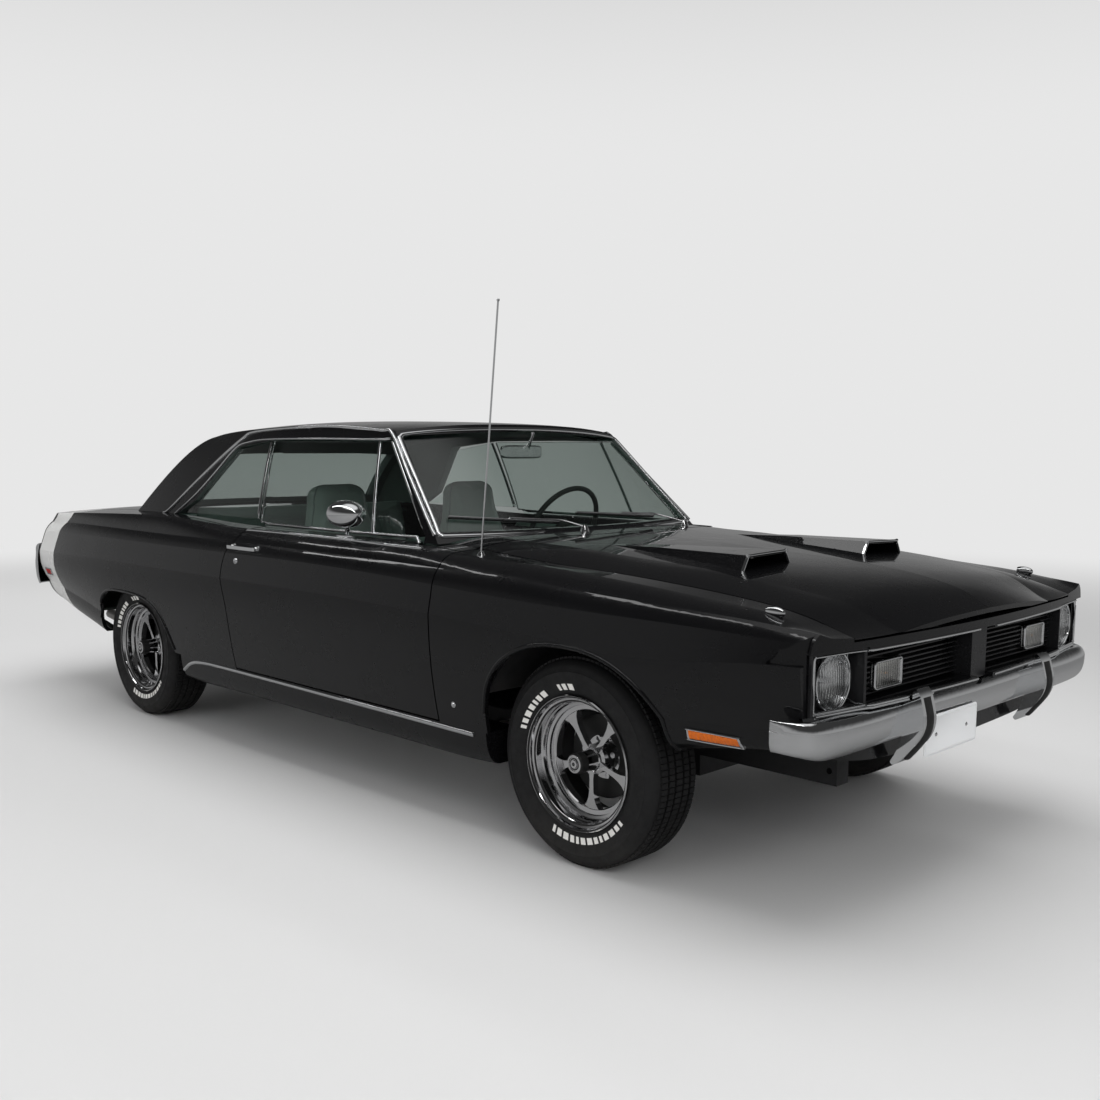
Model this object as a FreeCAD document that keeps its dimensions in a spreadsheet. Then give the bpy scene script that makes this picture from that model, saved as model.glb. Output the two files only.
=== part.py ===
import FreeCAD, Part
import math
import os

import Sketcher

from FreeCAD import Vector

# A compact two-door hardtop muscle car, parked on its wheels.
# Row frame: +X forward, +Y to the car's left, +Z up; the origin is on the floor, midway between the bumpers.

SIZES = {
    # whole car
    "wheelbase": 2819,
    "front_overhang": 896,
    "rear_overhang": 1268,
    "front_half_track": 712,
    "rear_half_track": 692,
    # wheels
    "tyre_radius": 318,
    "tyre_width": 205,
    "bead_radius": 190,
    "hub_height": 318,
    "rim_width": 186,
    "rim_lip_radius": 206,
    "rim_wall": 13,
    "spoke_ring_radius": 150,
    "hub_radius": 46,
    "spoke_depth": 22,
    "lug_depth": 24,
    "spindle_radius": 16,
    "hub_cap_radius": 31,
    "lug_circle_radius": 60,
    "lug_radius": 10,
    "drum_radius": 128,
    # body sheet, gaps and glass
    "skin": 14,
    "gap": 6,
    "lid_gap": 12,
    "pillar": 34,
    "glass_depth": 9,
    "glass": 5,
    "door_inner": 745,
    "hood_half_width": 660,
    "lid_half_width": 650,
    "sill_top": 352,
    # doors and lids
    "door_front": 1006,
    "door_hinge_back": 30,
    "door_hinge_side": 889,
    # steering
    "kingpin_half_track": 636,
    "wheel_rim_radius": 190,
    "wheel_rim_section": 11,
    # heavy pieces below
    "engine_length": 620,
    "engine_width": 520,
    "engine_height": 440,
    "gearbox_length": 620,
    "gearbox_width": 180,
    "gearbox_height": 210,
    "radiator_width": 660,
    "radiator_height": 430,
    "radiator_depth": 45,
    "shaft_radius": 38,
    "axle_radius": 38,
    "differential_radius": 125,
    "tank_length": 520,
    "tank_width": 760,
    "tank_height": 190,
    "pipe_radius": 26,
    "muffler_radius": 60,
    "muffler_length": 480,
    "antenna_length": 810,
    "antenna_radius": 3,
}

doc = FreeCAD.newDocument("MuscleCar")
sheet = doc.addObject("Spreadsheet::Sheet", "Sizes")
for row, (alias, value) in enumerate(SIZES.items(), start=1):
    sheet.set(f"A{row}", alias)
    sheet.set(f"B{row}", str(value))
    sheet.setAlias(f"B{row}", alias)
doc.recompute()


def size(alias):
    return float(sheet.get(alias))


LENGTH = size("wheelbase") + size("front_overhang") + size("rear_overhang")
FRONT_AXLE = LENGTH / 2 - size("front_overhang")
REAR_AXLE = FRONT_AXLE - size("wheelbase")
HUB = size("hub_height")
SKIN = size("skin")
GAP = size("gap")
LID_GAP = size("lid_gap")

subparts = []


# Curves and surfaces

def smooth_line(points):
    """Value along x through the given points, smooth and without overshoot."""
    points = sorted(points)
    xs = [p[0] for p in points]
    ys = [p[1] for p in points]
    steps = [(ys[i + 1] - ys[i]) / (xs[i + 1] - xs[i]) for i in range(len(xs) - 1)]
    slopes = [steps[0]]
    for before, after in zip(steps, steps[1:]):
        slopes.append(0 if before * after <= 0 else 2 * before * after / (before + after))
    slopes.append(steps[-1])

    def value(x):
        i = 0
        while i < len(xs) - 2 and x > xs[i + 1]:
            i += 1
        run = xs[i + 1] - xs[i]
        t = (x - xs[i]) / run
        if t < 0 or t > 1:
            edge = 0 if t < 0 else 1
            return ys[i + edge] + slopes[i + edge] * (x - xs[i + edge])
        rise = (1 + 2 * t) * (1 - t) ** 2 * ys[i] + t * t * (3 - 2 * t) * ys[i + 1]
        turn = t * (1 - t) ** 2 * slopes[i] - t * t * (1 - t) * slopes[i + 1]
        return rise + run * turn

    return value


def spline_poles(points, parameters):
    curve = Part.BSplineCurve()
    curve.interpolate(Points=points, Parameters=parameters)
    return curve


def surface_face(poles, along, across):
    """Face from a net of poles; along and across each give knots, multiplicities and degree."""
    surface = Part.BSplineSurface()
    surface.buildFromPolesMultsKnots(
        poles, along[1], across[1], along[0], across[0], False, False, along[2], across[2])
    return surface.toShape()


def strip(sections, parameters):
    """Surface through sections along the car, where each section is the poles of one Bezier arc."""
    curves = [spline_poles(list(column), parameters) for column in zip(*sections)]
    poles = [list(row) for row in zip(*[curve.getPoles() for curve in curves])]
    degree = len(curves) - 1
    along = (curves[0].getKnots(), curves[0].getMultiplicities(), curves[0].Degree)
    across = ([0.0, 1.0], [degree + 1, degree + 1], degree)
    return surface_face(poles, along, across)


def net(grid, along_at, across_at):
    """Surface through every point of the grid."""
    rows = [spline_poles(row, across_at) for row in grid]
    columns = [spline_poles(list(column), along_at) for column in zip(*[row.getPoles() for row in rows])]
    poles = [list(row) for row in zip(*[column.getPoles() for column in columns])]
    along = (columns[0].getKnots(), columns[0].getMultiplicities(), columns[0].Degree)
    across = (rows[0].getKnots(), rows[0].getMultiplicities(), rows[0].Degree)
    return surface_face(poles, along, across)


def mirrored(shape):
    return shape.mirror(Vector(0, 0, 0), Vector(0, 1, 0))


def solid_from(faces):
    shell = Part.makeShell(faces)
    shell.sewShape()
    solid = Part.makeSolid(Part.Shell(shell.Faces))
    if solid.Volume < 0:
        solid.reverse()
    return solid


def outline_face(points, plane):
    """Flat face through points in one plane; a list inside the points is run through as one smooth curve."""
    place = {"XY": lambda a, b: Vector(a, b, 0),
             "XZ": lambda a, b: Vector(a, 0, b),
             "YZ": lambda a, b: Vector(0, a, b)}
    stretches = []
    last = None
    first = None
    for item in points:
        run = [place[plane](*p) for p in (item if isinstance(item, list) else [item])]
        if last is not None and not last.isEqual(run[0], 1e-6):
            stretches.append(Part.LineSegment(last, run[0]).toShape())
        if len(run) > 1:
            curve = Part.BSplineCurve()
            curve.interpolate(Points=run)
            stretches.append(curve.toShape())
        if first is None:
            first = run[0]
        last = run[-1]
    if not last.isEqual(first, 1e-6):
        stretches.append(Part.LineSegment(last, first).toShape())
    return Part.Face(Part.Wire(stretches))


def prism(points, plane, low, high):
    """Outline in one plane, as a solid from low to high along the third axis."""
    direction = {"XY": Vector(0, 0, 1), "XZ": Vector(0, 1, 0), "YZ": Vector(1, 0, 0)}[plane]
    face = outline_face(points, plane)
    face.translate(direction * low)
    return face.extrude(direction * (high - low))


def box(x, y, z):
    """Box from pairs of low and high values."""
    return Part.makeBox(x[1] - x[0], y[1] - y[0], z[1] - z[0], Vector(x[0], y[0], z[0]))


def rod(start, end, radius):
    axis = end - start
    return Part.makeCylinder(radius, axis.Length, start, axis)


def add(name, shape):
    """Sub-part whose shape is set by its own formula."""
    if not shape.Placement.isIdentity():
        shape = Part.makeCompound([shape])
    feature = doc.addObject("Part::Feature", name)
    feature.Shape = shape
    feature.Label = name
    feature.Placement = FreeCAD.Placement()
    subparts.append(feature)
    return feature


# Lines of the body side, as heights and half widths along the car

crease_z = smooth_line([(-2500, 700), (-1924, 709), (-1324, 720), (-300, 722), (415, 722), (1015, 713),
                        (1355, 700), (1600, 688), (1850, 678), (2070, 694), (2270, 714), (2500, 720)])
crease_y = smooth_line([(-2560, 780), (-2204, 815), (-1904, 845), (-1404, 872), (-804, 882), (-300, 885),
                        (1000, 885), (1595, 882), (1895, 878), (2095, 868), (2315, 850), (2400, 836),
                        (2560, 790)])
middle_z = smooth_line([(-2560, 800), (-1500, 822), (-735, 823), (155, 826), (605, 820), (1505, 790),
                        (2040, 784), (2265, 777), (2560, 765)])
shoulder_z = smooth_line([(-2560, 850), (-1500, 868), (-815, 867), (-305, 869), (565, 864), (1305, 852),
                          (1765, 833), (2195, 815), (2285, 808), (2560, 780)])
crest_z = smooth_line([(-2560, 880), (-1975, 910), (-1495, 928), (-1125, 939), (-795, 940), (-405, 922),
                       (300, 915), (855, 911), (1100, 899), (1293, 891), (1678, 870), (2064, 841),
                       (2219, 826), (2400, 785), (2560, 745)])
crest_y = smooth_line([(-2560, 725), (-1975, 785), (-1495, 798), (-795, 800), (-405, 787), (855, 778),
                       (1293, 750), (1700, 740), (2219, 740), (2400, 745), (2560, 735)])
edge_z = smooth_line([(-2560, 878), (-1975, 920), (-1495, 940), (-1125, 948), (-405, 930), (855, 918),
                      (1100, 903), (1323, 888), (1606, 877), (2003, 852), (2250, 822), (2400, 781),
                      (2560, 740)])
rise_z = smooth_line([(-2560, 884), (-1975, 931), (-1495, 953), (-1125, 960), (-405, 950), (855, 938),
                      (1100, 930), (1310, 924), (1570, 909), (1820, 896), (2095, 868), (2300, 833),
                      (2420, 776), (2560, 735)])
rise_y = smooth_line([(-2560, 400), (-1125, 420), (855, 500), (1366, 510), (2200, 500), (2420, 470),
                      (2560, 440)])
centre_z = smooth_line([(-2560, 888), (-1975, 936), (-1495, 959), (-1125, 966), (-405, 960), (855, 946),
                        (1100, 937), (1400, 929), (1700, 916), (2078, 893), (2272, 867), (2400, 829),
                        (2461, 792), (2560, 745)])
trim_z = smooth_line([(-2560, 560), (-2150, 530), (-1750, 485), (-1300, 410), (-760, 346), (1180, 346),
                      (1400, 385), (1980, 520), (2560, 545)])
sill_z = smooth_line([(-2560, 470), (-2167, 440), (-1963, 405), (-1750, 372), (-1560, 335), (-1300, 290),
                      (-760, 237), (1180, 237), (1400, 270), (1980, 430), (2300, 476), (2560, 484)])

STATIONS = [-2560, -2380, -2200, -1975, -1700, -1400, -1125, -800, -405, 0, 450, 855, 1100, 1320, 1600,
            1850, 2064, 2219, 2320, 2400, 2480, 2560]
ALONG = [(x - STATIONS[0]) / (STATIONS[-1] - STATIONS[0]) for x in STATIONS]

# How far the middle pole of each stretch of the section lies towards its upper point, in y and in z
BOWS = [(0.92, 0.06), (0.97, 0.50), (0.55, 0.50), (0.30, 0.62), (0.30, 0.80), (0.50, 0.50), (0.55, 0.85),
        (0.45, 0.92)]


def body_section(x, inset):
    """Corner points of the half section at x, from the sill up to the centre line."""
    wide = crease_y(x)
    corners = [(wide - 105, sill_z(x) + inset), (wide - 45, trim_z(x)), (wide, crease_z(x)),
               (wide - 17, middle_z(x)), (wide - 44, shoulder_z(x) - inset / 3),
               (crest_y(x), crest_z(x) - inset), (663, edge_z(x) - inset), (rise_y(x), rise_z(x) - inset), ]
    points = [Vector(x, y - (inset if i < 6 else 0), z) for i, (y, z) in enumerate(corners)]
    return points + [Vector(x, 0, centre_z(x) - inset)]


def lower_body(inset):
    """Closed solid of the body below the glass, with its sides and top moved in by inset."""
    sections = [body_section(x, inset) for x in STATIONS]
    faces = []
    for k, (bow_y, bow_z) in enumerate(BOWS):
        arcs = []
        for points in sections:
            low, high = points[k], points[k + 1]
            bow = Vector(low.x, low.y + (high.y - low.y) * bow_y, low.z + (high.z - low.z) * bow_z)
            arcs.append([low, bow, high])
        face = strip(arcs, ALONG)
        faces.append(face)
        faces.append(mirrored(face))
    floor = strip([[points[0], Vector(points[0].x, -points[0].y, points[0].z)] for points in sections], ALONG)
    faces.append(floor)
    for end in (STATIONS[0], STATIONS[-1]):
        rim = []
        for face in faces:
            rim += [edge for edge in face.Edges if all(abs(v.X - end) < 1e-6 for v in edge.Vertexes)]
        faces.append(Part.Face(Part.Wire(Part.__sortEdges__(rim))))
    return solid_from(faces)


# The roof, pillars and glass, above the body

ROOF_AT = [0, 0.13, 0.35, 0.57, 0.78, 0.91, 1]
ROOF_EDGE = [(458, 586, 1304), (300, 596, 1316), (0, 601, 1322), (-300, 600, 1322), (-560, 592, 1313),
             (-740, 582, 1301), (-860, 572, 1287)]
ROOF_CENTRE = [(503, 1334), (320, 1344), (0, 1352), (-300, 1353), (-560, 1344), (-750, 1331), (-890, 1315)]
ROOF_FOOT = [(882, 713), (640, 733), (200, 742), (-280, 744), (-760, 742), (-1150, 735), (-1470, 715)]
FOOT_Z = 870
PILLAR_AT = [0, 0.36, 0.68, 1]
REAR_PILLAR = [(-1470, 715, FOOT_Z), (-1215, 643, 1100), (-1030, 598, 1228), (-860, 572, 1287)]
REAR_CENTRE = [(-1620, FOOT_Z), (-1290, 1082), (-1072, 1220), (-890, 1315)]
FRONT_CENTRE = (1022, FOOT_Z)
CROSS_AT = [0, 0.2, 0.5, 0.8, 1]
CROSS = [-1, -0.6, 0, 0.6, 1]
REAR_PULL = [0, 0, 0, 0.02, 0.12, 0.45, 1]
SIDE_BOW = [0, 5, 9, 9, 8, 4, 0]


CROWN = 2.6


def crosswise(corner, centre):
    """Points of a row across the car, from its right corner to its left one."""
    row = []
    for share in CROSS:
        swell = 1 - abs(share) ** CROWN
        reach = 1 - share * share
        row.append(Vector(corner.x + (centre[0] - corner.x) * reach, corner.y * share,
                          corner.z + (centre[1] - corner.z) * swell))
    return row


def upper_body(inset):
    """Closed solid of the roof, pillars and glass, with every face moved in by inset."""
    slope = 1.35
    last = len(ROOF_AT) - 1
    edge = []
    for i, (x, y, z) in enumerate(ROOF_EDGE):
        shift = -inset if i == 0 else inset if i == last else 0
        edge.append(Vector(x + shift, y - inset, z - inset))
    foot = []
    for i, (x, y) in enumerate(ROOF_FOOT):
        shift = -slope * inset if i == 0 else slope * inset if i == last else 0
        foot.append(Vector(x + shift, y - inset, FOOT_Z))
    centre = []
    for i, (x, z) in enumerate(ROOF_CENTRE):
        shift = -inset if i == 0 else inset if i == last else 0
        centre.append((x + shift, z - inset))
    back_centre = [(x + slope * inset * (1 - v) + inset * v, z - inset * v)
                   for (x, z), v in zip(REAR_CENTRE, PILLAR_AT)]
    back_corner = [Vector(x + slope * inset * (1 - v) + inset * v, y - inset, z - inset * v)
                   for (x, y, z), v in zip(REAR_PILLAR, PILLAR_AT)]
    front_foot = (FRONT_CENTRE[0] - slope * inset, FOOT_Z)

    side = []
    for i in range(last + 1):
        column = []
        for j, v in enumerate(PILLAR_AT):
            point = foot[i] + (edge[i] - foot[i]) * v
            pull = back_corner[j] - (foot[last] + (edge[last] - foot[last]) * v)
            column.append(point + pull * REAR_PULL[i] + Vector(0, SIDE_BOW[i] * 4 * v * (1 - v), 0))
        side.append(column)
    roof = [crosswise(corner, middle) for corner, middle in zip(edge, centre)]
    front = []
    for v in PILLAR_AT:
        middle = (front_foot[0] + (centre[0][0] - front_foot[0]) * v, FOOT_Z + (centre[0][1] - FOOT_Z) * v)
        front.append(crosswise(foot[0] + (edge[0] - foot[0]) * v, middle))
    back = [crosswise(corner, middle) for corner, middle in zip(back_corner, back_centre)]
    left = net(side, ROOF_AT, PILLAR_AT)
    faces = [left, mirrored(left), net(roof, ROOF_AT, CROSS_AT), net(front, PILLAR_AT, CROSS_AT),
             net(back, PILLAR_AT, CROSS_AT)]
    rim = []
    for face in faces:
        rim += [e for e in face.Edges if all(abs(v.Z - FOOT_Z) < 1e-6 for v in e.Vertexes)]
    faces.append(Part.Face(Part.Wire(Part.__sortEdges__(rim))))
    return solid_from(faces)


# Cutting shapes shared by the panels

BEYOND = 2700
WIDE = 1000

NOSE = [(2100, -WIDE), [(2395, -860), (2425, -643), (2452, -300), (2461, 0), (2452, 300), (2425, 643),
                        (2395, 860)], (2100, WIDE), (-BEYOND, WIDE), (-BEYOND, -WIDE)]
TAIL = [(-2130, 990), (-2196, 906), (-2303, 833), (-2363, 751), (-2403, 668), (-2413, 595), (-2363, 510),
        (-2252, 448), (-2047, 400), (-1900, 340)]
TAIL_PULL = [(950, 125), (830, 85), (700, 42), (450, 12), (0, 0)]


def tail_solid(back, thick):
    """Everything ahead of the tail, or a layer of it; its end curves forwards towards the sides."""
    wires = []
    for y, pull in TAIL_PULL + [(-y, pull) for y, pull in reversed(TAIL_PULL[:-1])]:
        run = [Vector(x + pull - back, y, z) for x, z in TAIL]
        if thick:
            rest = [p + Vector(thick, 0, 0) for p in reversed(run)]
        else:
            rest = [Vector(run[-1].x, y, 100), Vector(BEYOND, y, 100), Vector(BEYOND, y, 990)]
        curve = Part.BSplineCurve()
        curve.interpolate(Points=run)
        edges = [curve.toShape(), Part.LineSegment(run[-1], rest[0]).toShape()]
        if thick:
            other = Part.BSplineCurve()
            other.interpolate(Points=rest)
            edges.append(other.toShape())
        else:
            edges += [Part.LineSegment(a, b).toShape() for a, b in zip(rest, rest[1:])]
        edges.append(Part.LineSegment(rest[-1], run[0]).toShape())
        wires.append(Part.Wire(edges))
    return Part.makeLoft(wires, True, False)


body_limits = prism(NOSE, "XY", 0, 1200).common(tail_solid(0, 0))
outer = lower_body(0).common(body_limits)
inner = lower_body(SKIN)
shell = outer.cut(inner)

FRONT_ARCH = [(FRONT_AXLE - 350, 150), [(FRONT_AXLE - 350, 300), (FRONT_AXLE - 347, 420),
                                        (FRONT_AXLE - 318, 512), (FRONT_AXLE - 262, 585),
                                        (FRONT_AXLE - 180, 637), (FRONT_AXLE - 85, 666),
                                        (FRONT_AXLE + 10, 673), (FRONT_AXLE + 110, 667),
                                        (FRONT_AXLE + 205, 640), (FRONT_AXLE + 285, 590),
                                        (FRONT_AXLE + 338, 520), (FRONT_AXLE + 362, 430),
                                        (FRONT_AXLE + 366, 330)], (FRONT_AXLE + 366, 150)]
REAR_ARCH = [(REAR_AXLE - 338, 150), [(REAR_AXLE - 338, 330), (REAR_AXLE - 332, 410),
                                      (REAR_AXLE - 300, 490), (REAR_AXLE - 240, 545),
                                      (REAR_AXLE - 150, 573), (REAR_AXLE - 20, 580), (REAR_AXLE + 120, 578),
                                      (REAR_AXLE + 240, 564), (REAR_AXLE + 325, 528),
                                      (REAR_AXLE + 385, 455), (REAR_AXLE + 430, 352),
                                      (REAR_AXLE + 470, 310)], (REAR_AXLE + 500, 150)]
front_arches = prism(FRONT_ARCH, "XZ", -WIDE, WIDE)
rear_arches = prism(REAR_ARCH, "XZ", -WIDE, WIDE)


def wheel_space(axle, radius, inside):
    """Room round a wheel, from its inner wall out past the body side."""
    start = Vector(axle, inside, HUB)
    below = box((axle - radius, axle + radius), (inside, WIDE), (0, HUB))
    return rod(start, Vector(axle, WIDE, HUB), radius).fuse(below)


FRONT_ROOM = 388
REAR_ROOM = 362
FRONT_INSIDE = 440
REAR_INSIDE = 545
front_room = wheel_space(FRONT_AXLE, FRONT_ROOM, FRONT_INSIDE)
rear_room = wheel_space(REAR_AXLE, REAR_ROOM, REAR_INSIDE)


def door_outline(grow):
    """Side view of the door panel; grow moves its edges outwards."""
    front = size("door_front") + grow
    low = size("sill_top") + GAP - grow
    high = 1000
    rear = [(-231 - grow, high), (-238 - grow, 905), (-290 - grow, 820), (-306 - grow, 730),
            (-282 - grow, 630), (-272 - grow, 520), (-272 - grow, low)]
    return [(front, low), (front, high), rear]


def hood_outline(grow):
    side = size("hood_half_width") + grow
    front = 2470
    rear = 1000 - (LID_GAP if grow else 0)
    return [(front, -side), (front, side), [(rear, side), (rear + 62, side / 2), (rear + 82, 0),
                                            (rear + 62, -side / 2), (rear, -side)]]


def lid_outline(grow, rear):
    side = size("lid_half_width") + grow
    front = -1512 + (LID_GAP if grow else 0)
    return [(rear, -side), (rear, side), [(front, side), (front - 45, side / 2), (front - 60, 0),
                                            (front - 45, -side / 2), (front, -side)]]


HOOD_LOW = 764
LID_LOW = 848
LID_ROOM_REAR = -2202
hood_room = prism(hood_outline(GAP), "XY", HOOD_LOW, 1100)
lid_room = prism(lid_outline(GAP, LID_ROOM_REAR), "XY", LID_LOW, 1100)
door_room = prism(door_outline(GAP), "XZ", size("door_inner") - GAP, WIDE)
cabin_room = prism([(900, -700), (900, 700), (560, 720), (-1330, 712), (-1330, -712), (560, -720)], "XY",
                   300, 1000)

cabin_outer = upper_body(0)
cabin_inner = upper_body(size("pillar"))

WINDSHIELD = [(-668, 950), (668, 950), (572, 1286), [(572, 1286), (0, 1312), (-572, 1286)]]
REAR_WINDOW = [(-600, 985), (600, 985), (520, 1215), (-520, 1215)]
SIDE_WINDOW = [(768, 938), (466, 1272), (-300, 1272), (-600, 1240), (-830, 1010), (-985, 938)]


# Body panels

TUNNEL_HALF = 140

# Side end of each fender: its side stops in a rounded edge, and a cap set further in runs on to the lamp
POD_EDGE = [(2262, 850), (2290, 812), (2312, 800), (2321, 780), (2319, 757), (2306, 734), (2290, 722)]
CAP = [(2230, 843), (2300, 840), (2345, 832), (2375, 818), (2391, 806), (2400, 796)]
pod_step = prism([(2500, 900), (2262, 900), POD_EDGE, (2290, 716), (2500, 716)], "XZ", 0, WIDE)
pod_step = pod_step.common(prism([(2230, WIDE), CAP, (2500, 780), (2500, WIDE)], "XY", 600, 950))
BUMPER_TOP = 586
DIVIDER_HALF = 46
LAMP_SIDE = 697
LAMP_HEIGHT = 665


def side_panels(name, left_shape):
    add(name + "_left", left_shape)
    add(name + "_right", mirrored(left_shape))


def make_fenders():
    front = 2395
    back = size("door_front") + GAP
    keep = box((back, front), (size("hood_half_width") + GAP, WIDE), (size("sill_top"), 1100))
    panel = shell.common(keep)
    panel = panel.cut(box((back, front), (0, 735), (0, 762)))
    post = outer.common(box((back, back + 24), (700, WIDE), (size("sill_top"), 880)))
    backing = outer.common(prism([CAP, [(x, y - 18) for x, y in reversed(CAP)]], "XY", 588, 830))
    panel = panel.fuse(post).fuse(backing.common(box((2230, front), (700, WIDE), (588, 830))))
    panel = panel.cut(front_arches).cut(cabin_outer).cut(pod_step)
    panel = panel.cut(box((2368, 2500), (0, WIDE), (0, BUMPER_TOP))).cut(box((2382, 2500), (0, WIDE),
                                                                             (0, 746)))
    side_panels("fender", panel)


def make_quarters():
    reach = box((-2500, 300), (size("lid_half_width"), WIDE), (size("sill_top"), 1100))
    panel = shell.common(reach).cut(box((-2500, 300), (0, 720), (0, 850)))
    wall = outer.common(box((-980, 0), (716, WIDE), (size("sill_top"), 1100)))
    panel = panel.fuse(wall).cut(lid_room).cut(rear_arches)
    panel = panel.cut(rear_room.common(box((-2000, 0), (0, 838), (0, 1000)))).cut(cabin_room)
    panel = panel.cut(prism(door_outline(GAP), "XZ", 0, WIDE)).cut(box((-250, 400), (0, WIDE), (0, 1100)))
    side_panels("quarter", panel)


def make_sills():
    left = outer.common(box((-745, 1235), (700, WIDE), (200, size("sill_top"))))
    left = left.cut(front_arches).cut(rear_arches)
    add("sills", Part.makeCompound([left, mirrored(left)]))


def make_roof():
    roof = cabin_outer.cut(cabin_inner)
    roof = roof.cut(prism(WINDSHIELD[:3] + WINDSHIELD[3][1:], "YZ", 380, 1100))
    roof = roof.cut(prism(REAR_WINDOW, "YZ", -1700, -1000))
    roof = roof.cut(prism(SIDE_WINDOW, "XZ", -WIDE, WIDE))
    roof = roof.cut(lower_body(0)).cut(door_room).cut(mirrored(door_room))
    for side in (1, -1):
        roof = roof.cut(box((-330, 768), sided(side, 600, WIDE), (800, 938)))
    add("roof", max(roof.Solids, key=lambda solid: solid.Volume))


def make_cowl():
    strip_region = box((880, 1110), (-738, 738), (860, 1100)).cut(hood_room)
    for side in (1, -1):
        low, high = sorted((side * 664, side * WIDE))
        strip_region = strip_region.cut(box((1003, 1200), (low, high), (0, 1100)))
    firewall = box((968, 980), (-640, 640), (300, 1000)).common(outer)
    shelf = box((906, 980), (-640, 640), (840, 852))
    panel = shell.common(strip_region).fuse(firewall).fuse(shelf).cut(cabin_outer)
    add("cowl", panel.cut(box((900, 1000), (-TUNNEL_HALF, TUNNEL_HALF), (200, 500))))


def make_lids():
    hood = shell.common(prism(hood_outline(0), "XY", HOOD_LOW + GAP, 1100))
    for side in (1, -1):
        hood = hood.fuse(scoop(side))
    add("hood", hood)
    add("trunk_lid", shell.common(prism(lid_outline(0, -2400), "XY", LID_LOW + GAP, 1100)))


def scoop(side):
    """One hood scoop: a wedge that widens and rises forwards to an open mouth."""
    def ring(x, corners):
        points = [Vector(x, side * y, z) for y, z in corners]
        return Part.makePolygon(points + [points[0]])

    tip = ring(1190, [(343, 905), (365, 905), (361, 922), (347, 922)])
    middle = ring(1560, [(272, 893), (416, 886), (395, 934), (291, 936)])
    mouth = ring(1922, [(200, 872), (469, 862), (432, 935), (236, 940)])
    body = Part.makeLoft([tip, middle, mouth], True, True)
    throat = ring(1800, [(232, 900), (436, 893), (418, 918), (250, 922)])
    lips = ring(1923, [(215, 893), (452, 884), (426, 926), (244, 931)])
    return body.cut(Part.makeLoft([throat, lips], True, True))


def make_tail():
    panel = tail_solid(0, 22).common(inner).common(box((-2500, -2000), (-900, 900), (405, 1000)))
    panel = panel.cut(lid_room)
    add("tail_panel", panel.cut(box((-2300, -1900), (-900, 900), (0, 452))))
    width = size("lid_half_width")
    deck = shell.common(box((-1600, -1335), (-width, width), (850, 1000)).cut(lid_room))
    add("rear_deck", deck.cut(cabin_outer))


def make_nose():
    frame = outer.common(box((2330, 2500), (-862, 862), (BUMPER_TOP, 800)))
    frame = frame.cut(box((2330, 2500), (-663, 663), (HOOD_LOW, 800)))
    frame = frame.cut(box((2300, 2500), (-598, 598), (600, 733)))
    frame = frame.cut(box((2300, 2500), (-DIVIDER_HALF - 1, DIVIDER_HALF + 1), (BUMPER_TOP, 739)))
    for side in (1, -1):
        low, high = sorted((side * 598, side * 862))
        frame = frame.cut(box((2300, 2500), (low, high), (500, 746)))
    fenders = outer.common(box((2230, 2395.5), (size("hood_half_width") + GAP, WIDE),
                               (size("sill_top"), 1100)))
    frame = frame.cut(fenders).cut(mirrored(fenders))
    add("nose_panel", frame)


def sided(side, near, far):
    """Low and high of a stretch of y on one side of the car."""
    return (near, far) if side > 0 else (-far, -near)


def make_grille():
    pieces = [box((2336, 2346), (-596, 596), (602, 731)),
              box((2340, 2437), (-DIVIDER_HALF, DIVIDER_HALF), (588, 738))]
    for k in range(9):
        z = 609 + 14 * k
        pieces.append(box((2346, 2392), (-596, 596), (z, z + 4)))
    grille = pieces[0].multiFuse(pieces[1:])
    for side in (1, -1):
        low, high = sorted((side * 382, side * 528))
        grille = grille.cut(box((2346, 2500), (low, high), (612, 700)))
    add("grille", grille)


def make_lamps():
    lamps = []
    bezels = []
    face = [(2340, 600), (2340, 784), (2384, 784), (2384, 806), (2393, 806), (2402, 740), (2414, 650),
            (2424, 600)]
    for side in (1, -1):
        middle = Vector(2349, side * LAMP_SIDE, LAMP_HEIGHT)
        lamps.append(headlamp(middle))
        block = prism([(x, side * y) for x, y in face], "XY", 588, 745)
        pocket = box((2372, 2500), sided(side, 609, 798), (597, 737))
        hole = Part.makeCylinder(78, 100, Vector(2300, middle.y, middle.z), Vector(1, 0, 0))
        bezels.append(block.cut(pocket).cut(hole))
    add("headlamps", Part.makeCompound(lamps))
    add("headlamp_bezels", Part.makeCompound(bezels))
    turn = [box((2349, 2402), sided(side, 387, 523), (618, 694)) for side in (1, -1)]
    add("signal_lamps", Part.makeCompound(turn))


def headlamp(middle):
    """Shallow bowl behind a lens that bulges forwards."""
    bowl = Part.makeCylinder(76, 30, middle, Vector(1, 0, 0))
    bulge = 260
    lens = Part.makeSphere(bulge).common(Part.makeCylinder(74, 100, Vector(200, 0, 0), Vector(1, 0, 0)))
    lens.translate(Vector(middle.x + 40 - bulge, middle.y, middle.z))
    return bowl.fuse(lens)


def loft_along(stations, section):
    """Solid through copies of a section of smooth runs, each at a point of a plan path.

    A station is x, y, outward direction in degrees, share of the depth and share of the height kept.
    """
    top = max(z for run in section for _, z in run)
    rings = []
    for x, y, turn, depth_share, height_share in stations:
        out = Vector(math.cos(math.radians(turn)), math.sin(math.radians(turn)), 0)
        edges = []
        for run in section:
            curve = Part.BSplineCurve()
            curve.interpolate(Points=[Vector(x, y, top - (top - z) * height_share) - out * depth * depth_share
                                      for depth, z in run])
            edges.append(curve.toShape())
        rings.append(Part.Wire(edges))
    return Part.makeLoft(rings, True, False)


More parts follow.
